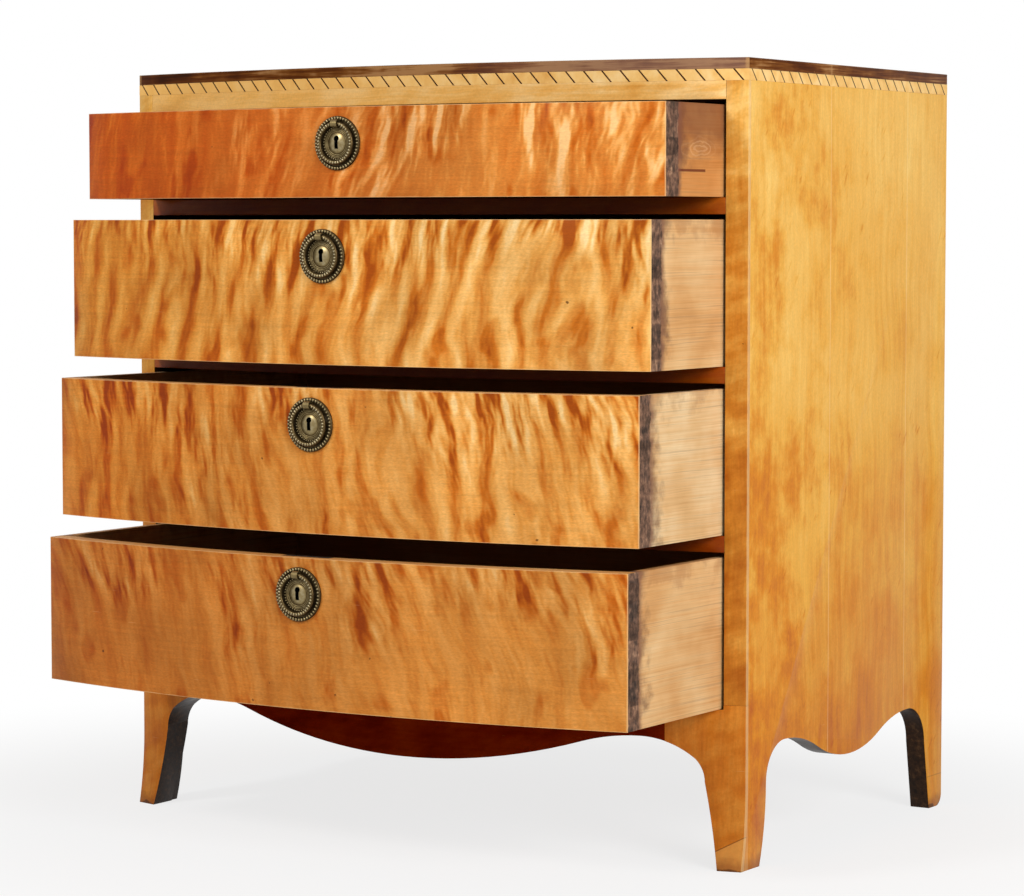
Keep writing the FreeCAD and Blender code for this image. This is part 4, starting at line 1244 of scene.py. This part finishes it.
def plate_with_beads(pull):
    node = f"drawer_{pull.number}_pull_plate"
    plate = merged_copy(node)
    soften(plate)

    def boss_shine(point):
        reach = (point.x ** 2 + (point.z - pull.height) ** 2) ** 0.5
        return 0.66 - 0.46 * share_of(BOSS_RADIUS * 0.86, BOSS_RADIUS * 1.04, reach)

    set_polish(plate, boss_shine)
    rim_y = pull.face_y - RIM_CREST + RIM_SINK
    rim = bead_mesh(Count=RIM_BEADS, Radius=RIM_RADIUS, Bead_size=RIM_BEAD, Start=0.0, Sweep=FULL_TURN,
                    Middle=(0.0, rim_y, pull.height))
    rubbed_tips(rim, rim_y - RIM_BEAD[1], 1.1 * MM)
    dish_y = pull.face_y - PLATE_FACE
    dish = bead_mesh(Count=DISH_BEADS, Radius=DISH_RADIUS, Bead_size=DISH_BEAD, Start=0.0, Sweep=FULL_TURN,
                     Middle=(0.0, dish_y, pull.height))
    rubbed_tips(dish, dish_y - DISH_BEAD[1], 0.7 * MM)
    meshes = [plate, rim, dish]
    for radius, wire in DISH_RINGS.items():
        meshes.append(turned_ring(radius, wire, pull, PLATE_FACE))
        rubbed_tips(meshes[-1], dish_y - wire, wire, high=0.65)
    return brass_piece(node + "_beaded", meshes, node)


def knuckle(pull):
    node = f"drawer_{pull.number}_pull_post"
    post = merged_copy(node)
    soften(post)
    set_polish(post, lambda point: 0.5)
    return brass_piece(node + "_smooth", [post], node)


def milled_ring(pull):
    node = f"drawer_{pull.number}_pull_ring"
    ring = merged_copy(node)
    soften(ring)
    rubbed_tips(ring, pull.ring_y - pull.ring_wire, pull.ring_wire, 0.2, 0.35)
    proud = pull.ring_y - pull.ring_wire + RING_SINK
    beads = bead_mesh(Count=RING_BEADS, Radius=pull.ring_radius, Bead_size=RING_BEAD, Start=KNUCKLE_TURN,
                      Sweep=FULL_TURN - 2 * KNUCKLE_TURN, Middle=(0.0, proud, pull.height))
    rubbed_tips(beads, proud - RING_BEAD[1], 1.0 * MM, 0.15, 0.95)
    return brass_piece(node + "_milled", [ring, beads], node)


brass = [make(pull) for pull in pulls.values() for make in (plate_with_beads, knuckle, milled_ring)]
print("brass pieces:", len(brass), "with", sum(len(b.data.polygons) for b in brass), "faces")

# %% [markdown]
# ## Floor, light and camera
# The photograph is a studio cut-out: white all round, with soft light from both sides of the camera. The
# floor and the world are white only where the camera sees them, directly or mirrored, so that the white
# does not light the object, and the floor keeps a faint shadow.

# %% Pale floor and white world
WHITE = (1.0, 1.0, 1.0, 1.0)
FLOOR_GREY = (0.8, 0.8, 0.8, 1.0)
FLOOR_SIZE = 30.0
SHADOW_SHARE = 0.22
SHADOW_SPAN = (0.45, 1.15)
AMBIENT = 0.22


def white_for_camera(tree):
    """1 for what the camera sees, directly, in polished metal or through glass."""
    light = add(tree, "ShaderNodeLightPath").outputs
    seen = calc("MAXIMUM", light["Is Camera Ray"], light["Is Glossy Ray"])
    return calc("MAXIMUM", seen, light["Is Transmission Ray"])


def make_floor():
    mesh = bpy.data.meshes.new("floor")
    work = bmesh.new()
    bmesh.ops.create_grid(work, x_segments=1, y_segments=1, size=FLOOR_SIZE)
    work.to_mesh(mesh)
    work.free()
    floor = new_object("floor", mesh)
    material, place = new_finish("studio_floor")
    tree = material.node_tree
    lit = add(tree, "ShaderNodeBsdfDiffuse", {"Color": FLOOR_GREY}).outputs[0]
    white = add(tree, "ShaderNodeEmission", {"Color": WHITE, "Strength": 1.0}).outputs[0]
    from_middle = length(scaled(place, (1.0, 1.0, 0.0)))
    whiteness = smooth(from_middle, *SHADOW_SPAN, 1.0 - SHADOW_SHARE, 1.0)
    share = times(whiteness, white_for_camera(tree))
    surface = grow("ShaderNodeMixShader", {0: share, 1: lit, 2: white}).outputs[0]
    grow("ShaderNodeOutputMaterial", {"Surface": surface})
    mesh.materials.append(material)


def make_world():
    world = bpy.data.worlds.new("studio")
    bpy.context.scene.world = world
    world.use_nodes = True
    tree = world.node_tree
    tree.nodes.clear()
    strength = smooth(white_for_camera(tree), 0.0, 1.0, AMBIENT, 1.0)
    back = grow("ShaderNodeBackground", {"Color": WHITE, "Strength": strength}).outputs[0]
    grow("ShaderNodeOutputWorld", {"Surface": back})


make_floor()
make_world()
print("white studio ready")

# %% Two soft lamps
TARGET = Vector((0.0, -0.1, 0.45))
LAMPS = {
    "left_lamp": {"spot": (-1.3, -3.4, 2.9), "size": 0.9, "power": 68.0},
    "right_lamp": {"spot": (3.5, -1.8, 2.0), "size": 2.0, "power": 116.0},
}


def soft_lamp(name, spot, size, power):
    lamp = bpy.data.lights.new(name, "AREA")
    lamp.shape = "DISK"
    lamp.size = size
    lamp.energy = power
    item = new_object(name, lamp)
    item.location = spot
    item.rotation_euler = (TARGET - Vector(spot)).to_track_quat("-Z", "Y").to_euler()


for name, choice in LAMPS.items():
    soft_lamp(name, **choice)
print("lamps:", list(LAMPS))

# %% [markdown]
# The camera was worked out from the photograph: the straight edges of the chest give its place, its long
# lens and its slight tilt down.

# %% Camera
LENS = 117.39
FILM_WIDTH = 36.0
CAMERA_RIGHT = 2.0767
CAMERA_AHEAD = 3.09513
CAMERA_HEIGHT = 0.68536
CAMERA_TILT = radians(86.17)
CAMERA_TURN = radians(32.40)
camera_data = bpy.data.cameras.new("camera")
camera_data.lens = LENS
camera_data.sensor_width = FILM_WIDTH
camera = new_object("camera", camera_data)
camera.location = (CAMERA_RIGHT, CORNER_Y - CAMERA_AHEAD, CAMERA_HEIGHT)
camera.rotation_euler = (CAMERA_TILT, 0.0, CAMERA_TURN)
bpy.context.scene.camera = camera
bpy.context.scene.view_settings.view_transform = "Standard"
print("camera at", [round(c, 3) for c in camera.location])

# %% The end
print("scene built")
